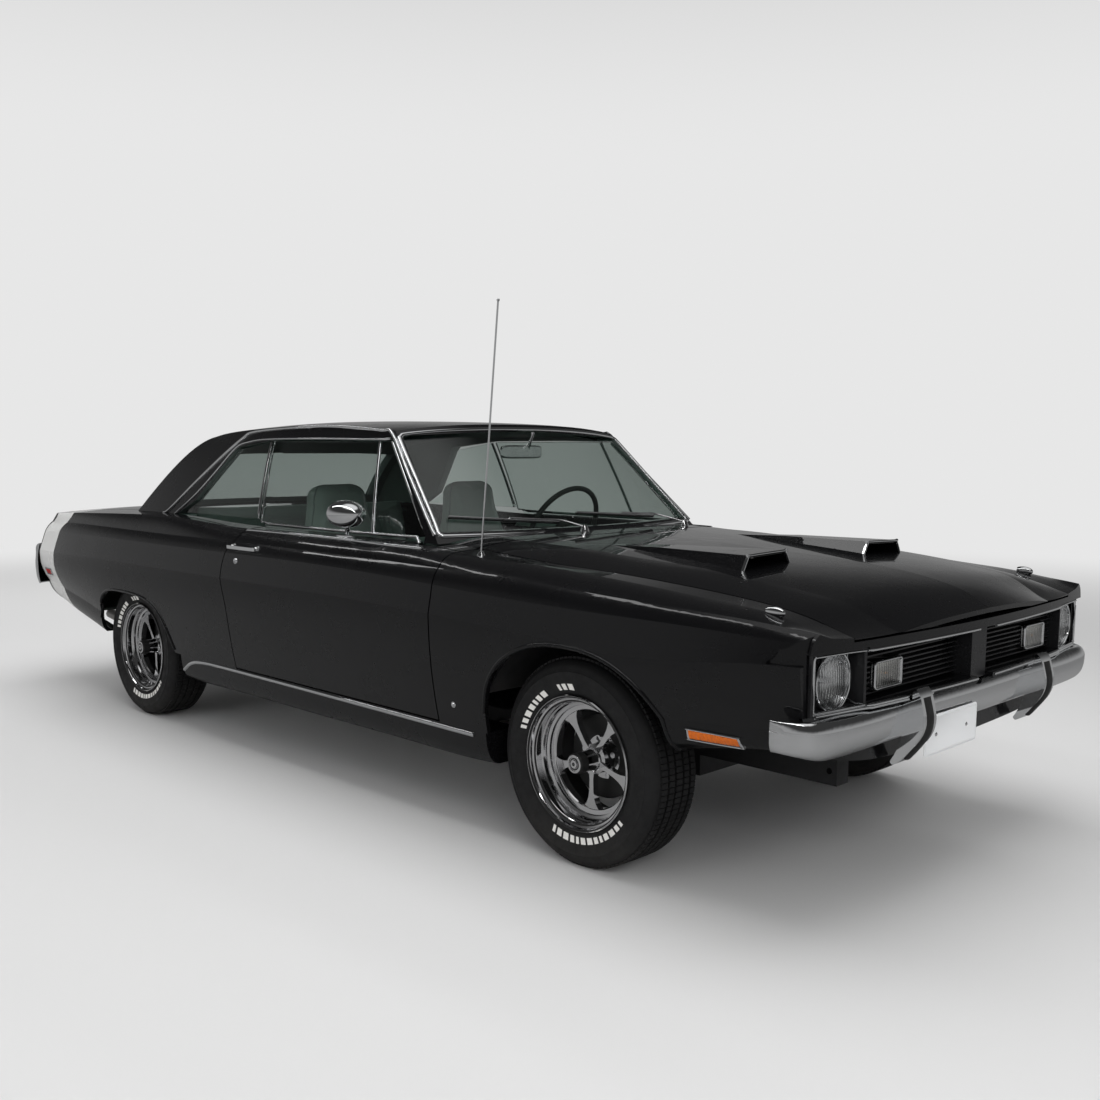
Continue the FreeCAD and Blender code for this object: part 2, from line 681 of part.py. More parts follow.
def both_ways(stations):
    """Stations from the left end to the middle, and on to the mirrored right end."""
    return stations + [(x, -y, -turn, a, b) for x, y, turn, a, b in reversed(stations[:-1])]


PLATE_SIDE = -215
PLATE_HOLES = 178


def plate_bracket(face, y, z, facing):
    """Flat bracket with two screw holes for a number plate, its outer face at x = face."""
    thick = 6
    low = min(face, face - facing * 40)
    bracket = box((low, low + 40), (y - 110, y + 110), (z - 14, z + 14))
    for side in (1, -1):
        bracket = bracket.cut(rod(Vector(face - facing * thick * 3, y + side * PLATE_HOLES / 2, z),
                                  Vector(face + facing, y + side * PLATE_HOLES / 2, z), 3.5))
    return bracket


def make_bumpers():
    plan = both_ways([(2318, 871, 90, 0.24, 0.75), (2376, 866, 80, 0.4, 0.78), (2424, 826, 45, 0.75, 0.9),
                      (2442, 740, 12, 1, 1), (2448, 400, 3, 1, 1), (2451, 0, 0, 1, 1)])
    blade = [[(58, 572), (46, 581), (24, 582), (8, 571), (0, 546)],
             [(0, 546), (4, 512), (22, 482), (44, 472), (56, 478)],
             [(56, 478), (40, 500), (34, 528), (40, 556), (58, 572)]]
    front = loft_along(plan, blade)
    guard = [(2424, 580), (2454, 584), [(2455, 604), (2461, 616), (2470, 609), (2482, 580), (2491.5, 534),
                                        (2484, 492), (2450, 442), (2415, 405), (2402, 400), (2396, 408)],
                                        [(2396, 408), (2418, 450), (2430, 490), (2431, 540), (2424, 580)]]
    for side in (1, -1):
        low, high = sided(side, 348, 414)
        front = front.fuse(prism(guard, "XZ", low, high))
    front = front.fuse(plate_bracket(2453, PLATE_SIDE, 470, 1))
    add("front_bumper", front)
    rear_plan = both_ways([(-2338, 818, 118, 0.3, 1), (-2382, 796, 138, 0.5, 1), (-2430, 700, 162, 0.9, 1),
                           (-2454, 450, 174, 1, 1), (-2464, 0, 180, 1, 1)])
    rear_blade = [[(71, 722), (62, 735), (46, 732), (14, 690), (2, 645), (0, 612)],
                  [(0, 612), (8, 575), (30, 540), (56, 524), (68, 530)],
                  [(68, 530), (48, 560), (38, 612), (44, 680), (71, 722)]]
    rear = blade = loft_along(rear_plan, rear_blade)
    lenses = []
    for side in (1, -1):
        for near, far in ((250, 440), (456, 646)):
            rear = rear.cut(box((-2500, -2380), sided(side, near, far), (622, 694)))
            inside = box((-2500, -2380), sided(side, near + 2, far - 2), (624, 692))
            lenses.append(blade.translated(Vector(4, 0, 0)).common(inside))
    guard = [(-2410, 700), [(-2445, 742), (-2456, 738), (-2480, 670), (-2491.5, 612), (-2478, 560),
                            (-2436, 518), (-2424, 520)],
                            [(-2424, 520), (-2446, 570), (-2450, 620), (-2436, 680), (-2410, 700)]]
    for side in (1, -1):
        low, high = sided(side, 180, 236)
        rear = rear.fuse(prism(guard, "XZ", low, high))
    add("rear_bumper", rear)
    add("tail_lamps", Part.makeCompound(lenses))


def make_valance():
    plan = [(2250, -732),
            [(2332, -732), (2360, -640), (2374, -300), (2376, 0), (2374, 300), (2360, 640), (2332, 732)],
            (2250, 732), (2250, 722),
            [(2320, 722), (2348, 636), (2362, 300), (2364, 0), (2362, -300), (2348, -636), (2320, -722)],
            (2250, -722)]
    front = [(-740, 500), (-740, 466),
             [(-660, 450), (-462, 420), (-250, 408), (0, 405), (250, 408), (462, 420), (660, 450)],
             (740, 466), (740, 500)]
    add("front_valance", prism(plan, "XY", 380, 500).common(prism(front, "YZ", 2200, 2500)))


def make_glass():
    layer = upper_body(size("glass_depth")).cut(upper_body(size("glass_depth") + size("glass")))
    add("windshield", layer.common(prism(WINDSHIELD[:3] + WINDSHIELD[3][1:], "YZ", 380, 1100)))
    add("rear_window", layer.common(prism(REAR_WINDOW, "YZ", -1700, -1000)))
    window = [(761, 890), (761, 938), (459, 1267), (-321, 1267), (-270, 946), (-230, 946), (-226, 890)]
    quarter = prism([(-333, 1264), (-592, 1229), (-816, 1005), (-930, 953), (-281, 953)], "XZ", 500, WIDE)
    side = layer.common(prism(window, "XZ", 0, WIDE))
    add("door_glass_left", side)
    add("door_glass_right", mirrored(side))
    rear_side = layer.common(quarter)
    add("quarter_glass", Part.makeCompound([rear_side, mirrored(rear_side)]))


MIRROR = Vector(444, -800, 1007)
MIRROR_REACH = (62, 50)
MIRROR_RINGS = [(406, 0.902), (425, 0.976), (444, 1), (465, 0.971), (485, 0.885), (503, 0.742),
                (517, 0.559), (526, 0.364), (531, 0.14)]


def mirror_head():
    """Oval head of the door mirror, flat at the back where its glass is."""
    turn = FreeCAD.Rotation(Vector(1, 1, 1), 120)
    rings = []
    for x, share in MIRROR_RINGS:
        wide, high = MIRROR_REACH
        ring = Part.Wire([Part.Ellipse(Vector(), wide * share, high * share).toShape()])
        ring.Placement = FreeCAD.Placement(Vector(x, MIRROR.y, MIRROR.z), turn)
        rings.append(ring)
    return Part.makeLoft(rings, True)


def make_doors():
    region = prism(door_outline(0), "XZ", size("door_inner"), WIDE)
    ledge = prism(door_outline(0), "XZ", 700, size("door_inner")).common(box((-300, 756), (0, WIDE),
                                                                             (864, 1000)))
    left = outer.common(region.fuse(ledge)).cut(box((-500, 1100), (0, WIDE), (931, 1200)))
    depth, thick = size("glass_depth"), size("glass")
    slot = upper_body(depth - 1).cut(upper_body(depth + thick + 1)).common(box((-300, 765), (0, WIDE),
                                                                               (888, 1000)))
    pillar = cabin_outer.cut(cabin_inner).common(box((756, 1100), (0, WIDE), (800, 1000)))
    left = left.cut(slot).cut(pillar)
    add("door_left", left)
    add("door_right", mirrored(left))
    stalk = rod(Vector(392, -757, 915), MIRROR, 9)
    foot = prism([[(330, -756), (338, -770), (376, -777), (414, -770), (424, -757), (414, -744),
                   (376, -737), (338, -744), (330, -756)]], "XY", 890, 925)
    add("door_mirror", mirror_head().fuse(stalk).fuse(foot).cut(mirrored(left)))


# Cabin

def make_cabin():
    dash = prism([(898, 900), (650, 926), (585, 880), (578, 800), (620, 700), (700, 640), (898, 640)], "XZ",
                 -690, 690)
    column = rod(Vector(640, 370, 772), Vector(412, 370, 884), 32)
    add("dashboard", dash.fuse(column).common(cabin_inner.fuse(box((300, 900), (-690, 690), (400, 880)))))
    add("front_seats", Part.makeCompound([front_seat(366), front_seat(-366)]))
    bench = prism([(-438, 290), (-640, 290), (-706, 322), (-860, 350), (-882, 374), (-978, 478),
                   (-1064, 900), (-1060, 975), (-1045, 986), (-1018, 976), (-885, 505), (-862, 458),
                   (-430, 502), (-408, 430)], "XZ", -528, 528)
    upper = prism([(-978, 700), (-1026, 700), (-1064, 900), (-1060, 975), (-1045, 986), (-1018, 976),
                   (-943, 700)], "XZ", -612, 612)
    add("rear_seat", bench.fuse(upper).cut(box((-1100, -300), (-TUNNEL_HALF, TUNNEL_HALF), (200, 486))))
    shelf = box((-1400, -1075), (-660, 660), (905, 919))
    wall = box((-1090, -1076), (-528, 528), (466, 905))
    add("rear_bulkhead", shelf.fuse(wall).common(outer))
    steering_wheel()


def front_seat(middle):
    """High-backed bucket: cushion and back in one, the back narrowing to its headrest."""
    base = prism([(-165, 300), (330, 320), [(345, 345), (356, 420), (340, 480), (300, 502)], (-60, 478),
                  (-150, 470)], "XZ", middle - 222, middle + 222)
    back = prism([(-165, 330), (-60, 470),
                  [(-60, 478), (-84, 560), (-150, 850), (-182, 1000), (-200, 1080)],
                  [(-200, 1080), (-222, 1102), (-258, 1104), (-290, 1082)],
                  [(-290, 1082), (-296, 980), (-268, 800), (-205, 500)]],
                 "XZ", middle - 222, middle + 222)
    half = [(222, 300), (226, 560), (218, 760), (186, 890), (158, 980), (150, 1050), (128, 1092),
            (84, 1106), (0, 1110)]
    front = [(middle + y, z) for y, z in half] + [(middle - y, z) for y, z in reversed(half[:-1])]
    return base.fuse(back.common(prism([front], "YZ", -400, 100)))


def steering_wheel():
    wheel = Part.makeTorus(size("wheel_rim_radius"), size("wheel_rim_section"))
    reach = size("wheel_rim_radius") - 4
    hub = Part.makeCylinder(38, 40, Vector(0, 0, -30))
    cross = Part.makeBox(2 * reach, 26, 8, Vector(-reach, -13, -14))
    down = Part.makeBox(26, reach, 8, Vector(-13, -reach, -14))
    wheel = wheel.fuse(hub).fuse(cross).fuse(down)
    wheel.rotate(Vector(0, 0, 0), Vector(0, 0, 1), -90)
    wheel.rotate(Vector(0, 0, 0), Vector(0, 1, 0), -64)
    wheel.translate(Vector(378, 370, 900))
    add("steering_wheel", wheel)


# Floor, wheel houses and running gear

def make_floor():
    plate = 12
    low = 270
    line = [(965, 560), (965, 500), (905, 300), (840, low), (-640, low), (-700, 300), (-860, 330),
            (-980, 452), (-2280, 452), (-2280, 452 + plate), (-990, 452 + plate), (-866, 342), (-706, 312),
            (-640, low + plate), (836, low + plate), (895, 306), (953, 502), (953, 560)]
    floor = prism(line, "XZ", -698, 698)
    tunnel = prism([(-136, 260), (-129, 420), (-92, 480), (92, 480), (129, 420), (136, 260)], "YZ", -985, 945)
    core = prism([(-124, 200), (-117, 412), (-84, 468), (84, 468), (117, 412), (124, 200)], "YZ", -1000, 1000)
    trunk_sides = box((-2280, -1600), (690, 790), (452, 464))
    floor = floor.fuse(tunnel).fuse(trunk_sides).fuse(mirrored(trunk_sides)).cut(core)
    housing = wheel_space(REAR_AXLE, REAR_ROOM + 9, REAR_INSIDE - 9)
    floor = floor.cut(housing).cut(mirrored(housing)).common(inner).common(outer)
    add("floor_pan", floor.cut(tail_solid(0, 23)))


def wheel_house(axle, radius, inside, outside, low):
    """Sheet arch over one wheel with its inner wall."""
    sheet_thick = 8
    arch = rod(Vector(axle, inside - sheet_thick, HUB), Vector(axle, outside, HUB), radius + sheet_thick)
    arch = arch.cut(rod(Vector(axle, inside, HUB), Vector(axle, outside, HUB), radius))
    return arch.common(box((axle - 600, axle + 600), (inside - 20, outside), (low, 900)))


def make_wheel_houses():
    front = wheel_house(FRONT_AXLE, FRONT_ROOM, FRONT_INSIDE, 832, 482)
    front = front.common(lower_body(SKIN + 1))
    rear = wheel_house(REAR_AXLE, REAR_ROOM, REAR_INSIDE, 835, 380)
    rear = rear.cut(box((-1700, -800), (700, WIDE), (0, 620))).common(lower_body(SKIN + 1))
    add("wheel_houses", Part.makeCompound([front, mirrored(front), rear, mirrored(rear)]))


def make_running_gear():
    engine = doc.addObject("Part::Box", "engine_block_box")
    engine.setExpression("Length", "Sizes.engine_length")
    engine.setExpression("Width", "Sizes.engine_width")
    engine.setExpression("Height", "Sizes.engine_height")
    engine.Placement.Base = Vector(1330, -size("engine_width") / 2, 330)
    gearbox = doc.addObject("Part::Box", "gearbox_box")
    gearbox.setExpression("Length", "Sizes.gearbox_length")
    gearbox.setExpression("Width", "Sizes.gearbox_width")
    gearbox.setExpression("Height", "Sizes.gearbox_height")
    gearbox.Placement.Base = Vector(720, -size("gearbox_width") / 2, 235)
    cleaner = doc.addObject("Part::Cylinder", "air_cleaner")
    cleaner.Radius = 190
    cleaner.Height = 75
    cleaner.Placement.Base = Vector(1640, 0, 765)
    block = doc.addObject("Part::MultiFuse", "engine_block")
    block.Shapes = [engine, gearbox, cleaner]
    block.Label = "engine_block"
    subparts.append(block)

    radiator = doc.addObject("Part::Box", "radiator")
    radiator.setExpression("Length", "Sizes.radiator_depth")
    radiator.setExpression("Width", "Sizes.radiator_width")
    radiator.setExpression("Height", "Sizes.radiator_height")
    radiator.Placement.Base = Vector(2120, -size("radiator_width") / 2, 380)
    radiator.Label = "radiator"
    subparts.append(radiator)

    shaft = doc.addObject("Part::Cylinder", "driveshaft")
    shaft.setExpression("Radius", "Sizes.shaft_radius")
    start = Vector(REAR_AXLE + size("differential_radius"), 0, HUB)
    end = Vector(719, 0, 330)
    shaft.Height = (end - start).Length
    shaft.Placement = FreeCAD.Placement(start, FreeCAD.Rotation(Vector(0, 0, 1), end - start))
    shaft.Label = "driveshaft"
    subparts.append(shaft)

    tank = doc.addObject("Part::Box", "tank_box")
    tank.setExpression("Length", "Sizes.tank_length")
    tank.setExpression("Width", "Sizes.tank_width")
    tank.setExpression("Height", "Sizes.tank_height")
    tank.Placement.Base = Vector(-2180, -size("tank_width") / 2, 258)
    doc.recompute()
    soft_tank = doc.addObject("Part::Fillet", "fuel_tank")
    soft_tank.Base = tank
    soft_tank.Edges = [(k + 1, 40.0, 40.0) for k in range(len(tank.Shape.Edges))]
    soft_tank.Label = "fuel_tank"
    subparts.append(soft_tank)

    axle = rod(Vector(REAR_AXLE, -612, HUB), Vector(REAR_AXLE, 612, HUB), size("axle_radius"))
    ball = Part.makeSphere(size("differential_radius"), Vector(REAR_AXLE, 0, HUB))
    axle = axle.fuse(ball)
    for side in (1, -1):
        y = side * 500
        top = [(-688, 282), (-900, 262), (REAR_AXLE, 250), (-1560, 266), (-1850, 300)]
        leaf = prism([top, [(x, z - 26) for x, z in reversed(top)]], "XZ", y - 31, y + 31)
        pad = box((REAR_AXLE - 60, REAR_AXLE + 60), (y - 36, y + 36), (240, 290))
        axle = axle.fuse(leaf).fuse(pad)
        plate = rod(Vector(REAR_AXLE, side * 596, HUB), Vector(REAR_AXLE, side * 612, HUB), 132)
        axle = axle.fuse(plate)
    add("rear_axle", axle)

    rail = box((1100, 2230), (345, 405), (300, 380))
    cross = box((1500, 1700), (-345, 345), (212, 282))
    frame = rail.fuse(mirrored(rail)).fuse(cross)
    king = size("kingpin_half_track")
    for side in (1, -1):
        tower = box((1540, 1650), sided(side, 345, 400), (192, 640))
        lower = prism([(1520, side * 380), (1672, side * 380), (FRONT_AXLE + 24, side * (king + 14)),
                       (FRONT_AXLE - 24, side * (king + 14))], "XY", 192, 208)
        upper = prism([(1545, side * 380), (1645, side * 380), (FRONT_AXLE + 20, side * (king + 14)),
                       (FRONT_AXLE - 20, side * (king + 14))], "XY", 456, 472)
        frame = frame.fuse(tower).fuse(lower).fuse(upper)
        frame = frame.cut(rod(Vector(2205, side * 340, 340), Vector(2205, side * 410, 340), 9))
    add("front_subframe", frame)

    pipes = []
    for side in (1, -1):
        y = side * 300
        aside = side * 428
        path = [Vector(1250, y, 202), Vector(-880, y, 202), Vector(-1050, y, 398), Vector(-1400, y, 398),
                Vector(-1590, aside, 232), Vector(-2330, aside, 330)]
        pipe = bent_tube(path, size("pipe_radius"), 100)
        muffler = rod(Vector(-200, y, 202), Vector(-200 + size("muffler_length"), y, 202),
                      size("muffler_radius"))
        pipes.append(pipe.fuse(muffler))
    add("exhaust", Part.makeCompound(pipes))


def bent_tube(path, radius, bend):
    """Solid tube of straight runs joined by tangent arcs."""
    edges = []
    start = path[0]
    for before, corner, after in zip(path, path[1:], path[2:]):
        into = (before - corner).normalize()
        out = (after - corner).normalize()
        half = into.getAngle(out) / 2
        reach = bend / math.tan(half)
        first = corner + into * reach
        last = corner + out * reach
        bisector = (into + out).normalize()
        middle = corner + bisector * (bend / math.sin(half) - bend)
        edges.append(Part.LineSegment(start, first).toShape())
        edges.append(Part.Arc(first, middle, last).toShape())
        start = last
    edges.append(Part.LineSegment(start, path[-1]).toShape())
    wire = Part.Wire(edges)
    ring = Part.Wire([Part.Circle(path[0], path[1] - path[0], radius).toShape()])
    return wire.makePipeShell([ring], True, False)


def make_knuckles():
    king = size("kingpin_half_track")
    for side, name in ((1, "knuckle_left"), (-1, "knuckle_right")):
        y = side * king
        upright = rod(Vector(FRONT_AXLE, y, 212), Vector(FRONT_AXLE, y, 452), 15)
        spindle = rod(Vector(FRONT_AXLE, y, HUB), Vector(FRONT_AXLE, side * 722, HUB), size("spindle_radius"))
        plate = rod(Vector(FRONT_AXLE, side * 650, HUB), Vector(FRONT_AXLE, side * 658, HUB), 100)
        boss = rod(Vector(FRONT_AXLE, y, HUB), Vector(FRONT_AXLE, side * 658, HUB), 34)
        arm = prism([(FRONT_AXLE + 10, y - side * 10), (FRONT_AXLE + 10, y + side * 10),
                     (FRONT_AXLE - 118, y - side * 22), (FRONT_AXLE - 118, y - side * 36)], "XY", 232, 246)
        add(name, upright.fuse(spindle).fuse(plate).fuse(boss).fuse(arm))


# Wheels, as bodies with sketches

def plane_of(body, role):
    return [f for f in body.Origin.OriginFeatures if f.Role == role][0]


def new_sketch(body, name, role):
    sketch = body.newObject("Sketcher::SketchObject", name)
    sketch.AttachmentSupport = (plane_of(body, role), [""])
    sketch.MapMode = "FlatFace"
    return sketch


def closed_profile(sketch, points, bound):
    """Closed outline; bound names the sheet value, with an offset, for some of its coordinates."""
    count = len(points)
    for k in range(count):
        start, end = points[k], points[(k + 1) % count]
        sketch.addGeometry(Part.LineSegment(Vector(*start, 0), Vector(*end, 0)), False)
    for k in range(count):
        sketch.addConstraint(Sketcher.Constraint("Coincident", k, 2, (k + 1) % count, 1))
    for k, (a, b) in enumerate(points):
        for kind, value, axis in (("DistanceX", a, 0), ("DistanceY", b, 1)):
            index = sketch.addConstraint(Sketcher.Constraint(kind, -1, 1, k, 1, value))
            if (k, axis) in bound:
                sketch.setExpression(f"Constraints[{index}]", bound[(k, axis)])


def revolve(body, name, points, bound):
    """Ring about the wheel's axle; points are radius and distance from the outer face."""
    sketch = new_sketch(body, name + "_profile", "XY_Plane")
    closed_profile(sketch, points, bound)
    turned = body.newObject("PartDesign::Revolution", name)
    turned.Profile = sketch
    turned.ReferenceAxis = (sketch, ["V_Axis"])
    turned.Angle = 360
    sketch.Visibility = False
    return turned


def pad_round(body, name, outline, face, depth):
    """Five equal pads about the axle, from face inwards by the sheet's depth."""
    sketch = new_sketch(body, name + "_profile", "XZ_Plane")
    sketch.AttachmentOffset = FreeCAD.Placement(Vector(0, 0, -face), FreeCAD.Rotation())
    closed_profile(sketch, outline, {})
    pad = body.newObject("PartDesign::Pad", name)
    pad.Profile = sketch
    pad.setExpression("Length", "Sizes." + depth)
    sketch.Visibility = False
    doc.recompute()
    ring = body.newObject("PartDesign::PolarPattern", name + "_ring")
    ring.Originals = [pad]
    ring.Axis = (sketch, ["N_Axis"])
    ring.Angle = 360
    ring.Occurrences = 5
    body.Tip = ring
    doc.recompute()


def make_tyre(name, x, y):
    body = doc.addObject("PartDesign::Body", name)
    radius, width, bead = size("tyre_radius"), size("tyre_width"), size("bead_radius")
    half = width / 2
    section = [(bead, half - 80), (bead + 18, half - 88), (bead + 40, half - 99), (bead + 70, half - 102.5),
               (radius - 26, half - 99), (radius - 8, half - 84), (radius, half - 60), (radius, half + 60),
               (radius - 8, half + 84), (radius - 26, half + 99), (bead + 70, half + 102.5),
               (bead + 40, half + 99), (bead + 18, half + 88), (bead, half + 80)]
    bound = {(6, 0): "Sizes.tyre_radius", (7, 0): "Sizes.tyre_radius",
             (0, 0): "Sizes.bead_radius", (13, 0): "Sizes.bead_radius"}
    revolve(body, name + "_ring", section, bound)
    body.Placement = FreeCAD.Placement(Vector(x, y - half, HUB), FreeCAD.Rotation())
    body.Label = name
    subparts.append(body)


def make_rim(name, x, y, side):
    """Rim, five spokes, hub cap and lug nuts; the face looks outwards."""
    body = doc.addObject("PartDesign::Body", name)
    width, lip, bead, wall = size("rim_width"), size("rim_lip_radius"), size("bead_radius"), size("rim_wall")
    ring = size("spoke_ring_radius")
    tube = bead - 1
    inside = tube - wall
    barrel = [(inside, 12), (inside, width - 46), (inside + 3, width - 40), (inside + 7, width - 36),
              (inside + 7, width - 16), (inside + 10, width - 12), (lip - 12, width - 8),
              (lip - 10, width - 2), (lip - 7, width + 4), (lip - 3, width + 6), (lip, width + 3),
              (lip, width - 3), (lip - 8, width - 7), (tube, width - 12), (tube, 12), (lip - 8, 7),
              (lip, 3), (lip, -4), (lip - 8, -4)]
    bound = {(0, 0): "Sizes.bead_radius - 1 - Sizes.rim_wall",
             (1, 0): "Sizes.bead_radius - 1 - Sizes.rim_wall",
             (10, 0): "Sizes.rim_lip_radius", (11, 0): "Sizes.rim_lip_radius"}
    revolve(body, name + "_barrel", barrel, bound)
    face = 110
    step = [(ring, face - 20), (ring, face + 6), (ring + 3, face + 10), (ring + 16, face + 12),
            (ring + 18, face + 18), (inside + 1, face + 22), (inside + 1, face + 10), (ring + 20, face + 4),
            (ring + 6, face - 20)]
    revolve(body, name + "_step", step, {(0, 0): "Sizes.spoke_ring_radius",
                                         (1, 0): "Sizes.spoke_ring_radius"})
    hub_radius = size("hub_radius")
    drum_radius = size("drum_radius")
    bore = size("spindle_radius") + 6
    drum = [(bore, 48), (drum_radius, 48), (drum_radius, 64), (hub_radius, 68), (hub_radius, face - 2),
            (hub_radius - 14, face + 4), (bore, face + 4)]
    bound = {(1, 0): "Sizes.drum_radius", (2, 0): "Sizes.drum_radius", (3, 0): "Sizes.hub_radius",
             (4, 0): "Sizes.hub_radius"}
    revolve(body, name + "_drum", drum, bound)
    cap = size("hub_cap_radius")
    nose = [(0, face), (cap + 5, face), (cap + 5, face + 8), (cap + 2, face + 12), (cap, face + 78),
            (cap - 4, face + 84), (cap - 10, face + 85), (cap - 11, face + 82), (cap - 18, face + 82),
            (cap - 19, face + 86), (0, face + 87)]
    revolve(body, name + "_cap", nose, {(4, 0): "Sizes.hub_cap_radius"})

    half = [(26, 11), (62, 7.5), (96, 8.5), (118, 12), (134, 18), (144, 26), (ring + 4, 36)]
    outline = [(b, -a) for a, b in half] + [(-b, -a) for a, b in reversed(half)]
    pad_round(body, name + "_spoke", outline, face + 8, "spoke_depth")
    lug = size("lug_radius")
    middle = size("lug_circle_radius")
    corners = [(lug * math.sin(math.radians(60 * k)),
                middle + lug * math.cos(math.radians(60 * k))) for k in range(6)]
    pad_round(body, name + "_lug", corners, 88, "lug_depth")
    turn = FreeCAD.Rotation() if side > 0 else FreeCAD.Rotation(Vector(0, 0, 1), 180)
    body.Placement = FreeCAD.Placement(Vector(x, y - side * width / 2, HUB), turn)
    body.Label = name
    subparts.append(body)


def make_wheels():
    spots = [("front_left", FRONT_AXLE, size("front_half_track"), 1),
             ("front_right", FRONT_AXLE, -size("front_half_track"), -1),
             ("rear_left", REAR_AXLE, size("rear_half_track"), 1),
             ("rear_right", REAR_AXLE, -size("rear_half_track"), -1)]
    for name, x, y, side in spots:
        make_tyre("tyre_" + name, x, y)
        make_rim("rim_" + name, x, y, side)


def make_antenna():
    x, y, z = 1106, -742, 893
    base = Part.makeCone(16, 8, 18, Vector(x, y, z))
    rod_top = Vector(x + 84, y, z + size("antenna_length") - 6)
    mast = rod(Vector(x, y, z + 10), rod_top, size("antenna_radius"))
    tip = Part.makeSphere(5, rod_top)
    add("antenna", base.fuse(mast).fuse(tip).cut(outer))


make_fenders()
make_quarters()
make_sills()
make_roof()
make_cowl()
make_lids()
make_tail()
make_nose()
make_grille()
make_lamps()
make_bumpers()
make_valance()
make_glass()
make_doors()
make_cabin()
make_floor()
make_wheel_houses()
make_running_gear()
make_knuckles()
make_wheels()
make_antenna()
doc.recompute()

for feature in doc.Objects:
    if "Invalid" in feature.State or "Error" in feature.State:
        raise RuntimeError(f"{feature.Label} failed: {feature.State}")
for subpart in subparts:
    if subpart.Shape.isNull() or not subpart.Shape.isValid():
        print("not valid:", subpart.Label)
    print(f"{subpart.Label}: {len(subpart.Shape.Solids)} solids, {subpart.Shape.Volume / 1e6:.2f} litres")

os.makedirs("parts", exist_ok=True)
for subpart in subparts:
    subpart.Shape.exportStep(f"parts/{subpart.Label}.step")
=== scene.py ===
import math

import bmesh
import bpy
from mathutils import Matrix, Vector
from mathutils.bvhtree import BVHTree


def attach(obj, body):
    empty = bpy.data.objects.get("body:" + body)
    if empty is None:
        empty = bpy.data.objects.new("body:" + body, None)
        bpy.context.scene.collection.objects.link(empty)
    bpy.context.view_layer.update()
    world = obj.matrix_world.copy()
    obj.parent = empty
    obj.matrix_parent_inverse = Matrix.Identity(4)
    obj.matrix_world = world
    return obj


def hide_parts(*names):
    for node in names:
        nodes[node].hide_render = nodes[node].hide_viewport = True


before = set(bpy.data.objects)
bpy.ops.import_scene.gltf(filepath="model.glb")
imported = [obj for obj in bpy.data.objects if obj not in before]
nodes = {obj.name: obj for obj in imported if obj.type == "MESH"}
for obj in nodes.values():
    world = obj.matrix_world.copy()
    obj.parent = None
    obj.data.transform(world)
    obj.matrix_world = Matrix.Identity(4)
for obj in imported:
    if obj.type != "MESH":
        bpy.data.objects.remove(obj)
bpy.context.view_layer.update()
bpy.ops.object.select_all(action="DESELECT")
bpy.context.scene.view_settings.view_transform = "Standard"
print("frame loaded")

sides = {"left": 1, "right": -1}
wheelSpots = {"front_left": (1.5955, 0.712), "front_right": (1.5955, -0.712),
              "rear_left": (-1.2235, 0.692), "rear_right": (-1.2235, -0.692)}
hubHeight = 0.318


def addObject(name, data):
    piece = bpy.data.objects.new(name, data)
    bpy.context.scene.collection.objects.link(piece)
    return piece


# Camera, as the photograph was taken

view = {"place": (3.9577, -3.2618, 1.2476), "yaw": 2.359413, "pitch": -0.124978, "roll": 0.0033576,
        "lens": 38.71, "sensor": 36, "shiftUp": 0.0412}


def setCamera():
    data = bpy.data.cameras.new("camera")
    data.lens, data.sensor_width, data.shift_y = view["lens"], view["sensor"], view["shiftUp"]
    camera = addObject("camera", data)
    bpy.context.scene.camera = camera
    camera.location = view["place"]
    level = math.cos(view["pitch"])
    look = Vector((math.cos(view["yaw"]) * level, math.sin(view["yaw"]) * level, math.sin(view["pitch"])))
    camera.rotation_mode = "QUATERNION"
    roll = Matrix.Rotation(view["roll"], 4, "Z").to_quaternion()
    camera.rotation_quaternion = look.to_track_quat("-Z", "Y") @ roll


# Node helpers

def newNode(tree, kind, inlets=None, operation=None):
    # inlets, by name or number, take a plain value or the outlet that feeds them
    node = tree.nodes.new("ShaderNode" + kind)
    if operation:
        node.operation = operation
    for label, value in (inlets or {}).items():
        if isinstance(value, bpy.types.NodeSocket):
            tree.links.new(value, node.inputs[label])
        else:
            node.inputs[label].default_value = value
    return node


def mathNode(tree, operation, first, second=None, clamp=False):
    node = newNode(tree, "Math", {0: first} if second is None else {0: first, 1: second}, operation)
    node.use_clamp = clamp
    return node.outputs[0]


def mixColor(tree, share, first, second):
    # plain colours have three values
    first, second = ((*value, 1) if isinstance(value, tuple) else value for value in (first, second))
    mix = newNode(tree, "Mix", {"Factor": share, 6: first, 7: second})
    mix.data_type = "RGBA"
    return mix.outputs[2]


def mixShaders(tree, share, first, second, output="Material Output"):
    mix = newNode(tree, "MixShader", {0: share, 1: first.outputs[0], 2: second.outputs[0]})
    tree.links.new(mix.outputs[0], tree.nodes[output].inputs["Surface"])


def smoothFade(tree, value, reach, ends=(0.0, 1.0)):
    fade = newNode(tree, "MapRange", {"Value": value, "From Min": reach[0], "From Max": reach[1],
                                      "To Min": ends[0], "To Max": ends[1]})
    fade.interpolation_type = "SMOOTHSTEP"
    return fade.outputs["Result"]


def looking(tree):
    # whether a ray is glossy, and whether it looks at things rather than lights them
    path = newNode(tree, "LightPath").outputs
    share = mathNode(tree, "MAXIMUM", path["Is Camera Ray"], path["Is Glossy Ray"])
    return path["Is Glossy Ray"], mathNode(tree, "MAXIMUM", share, path["Is Transmission Ray"])


# Studio

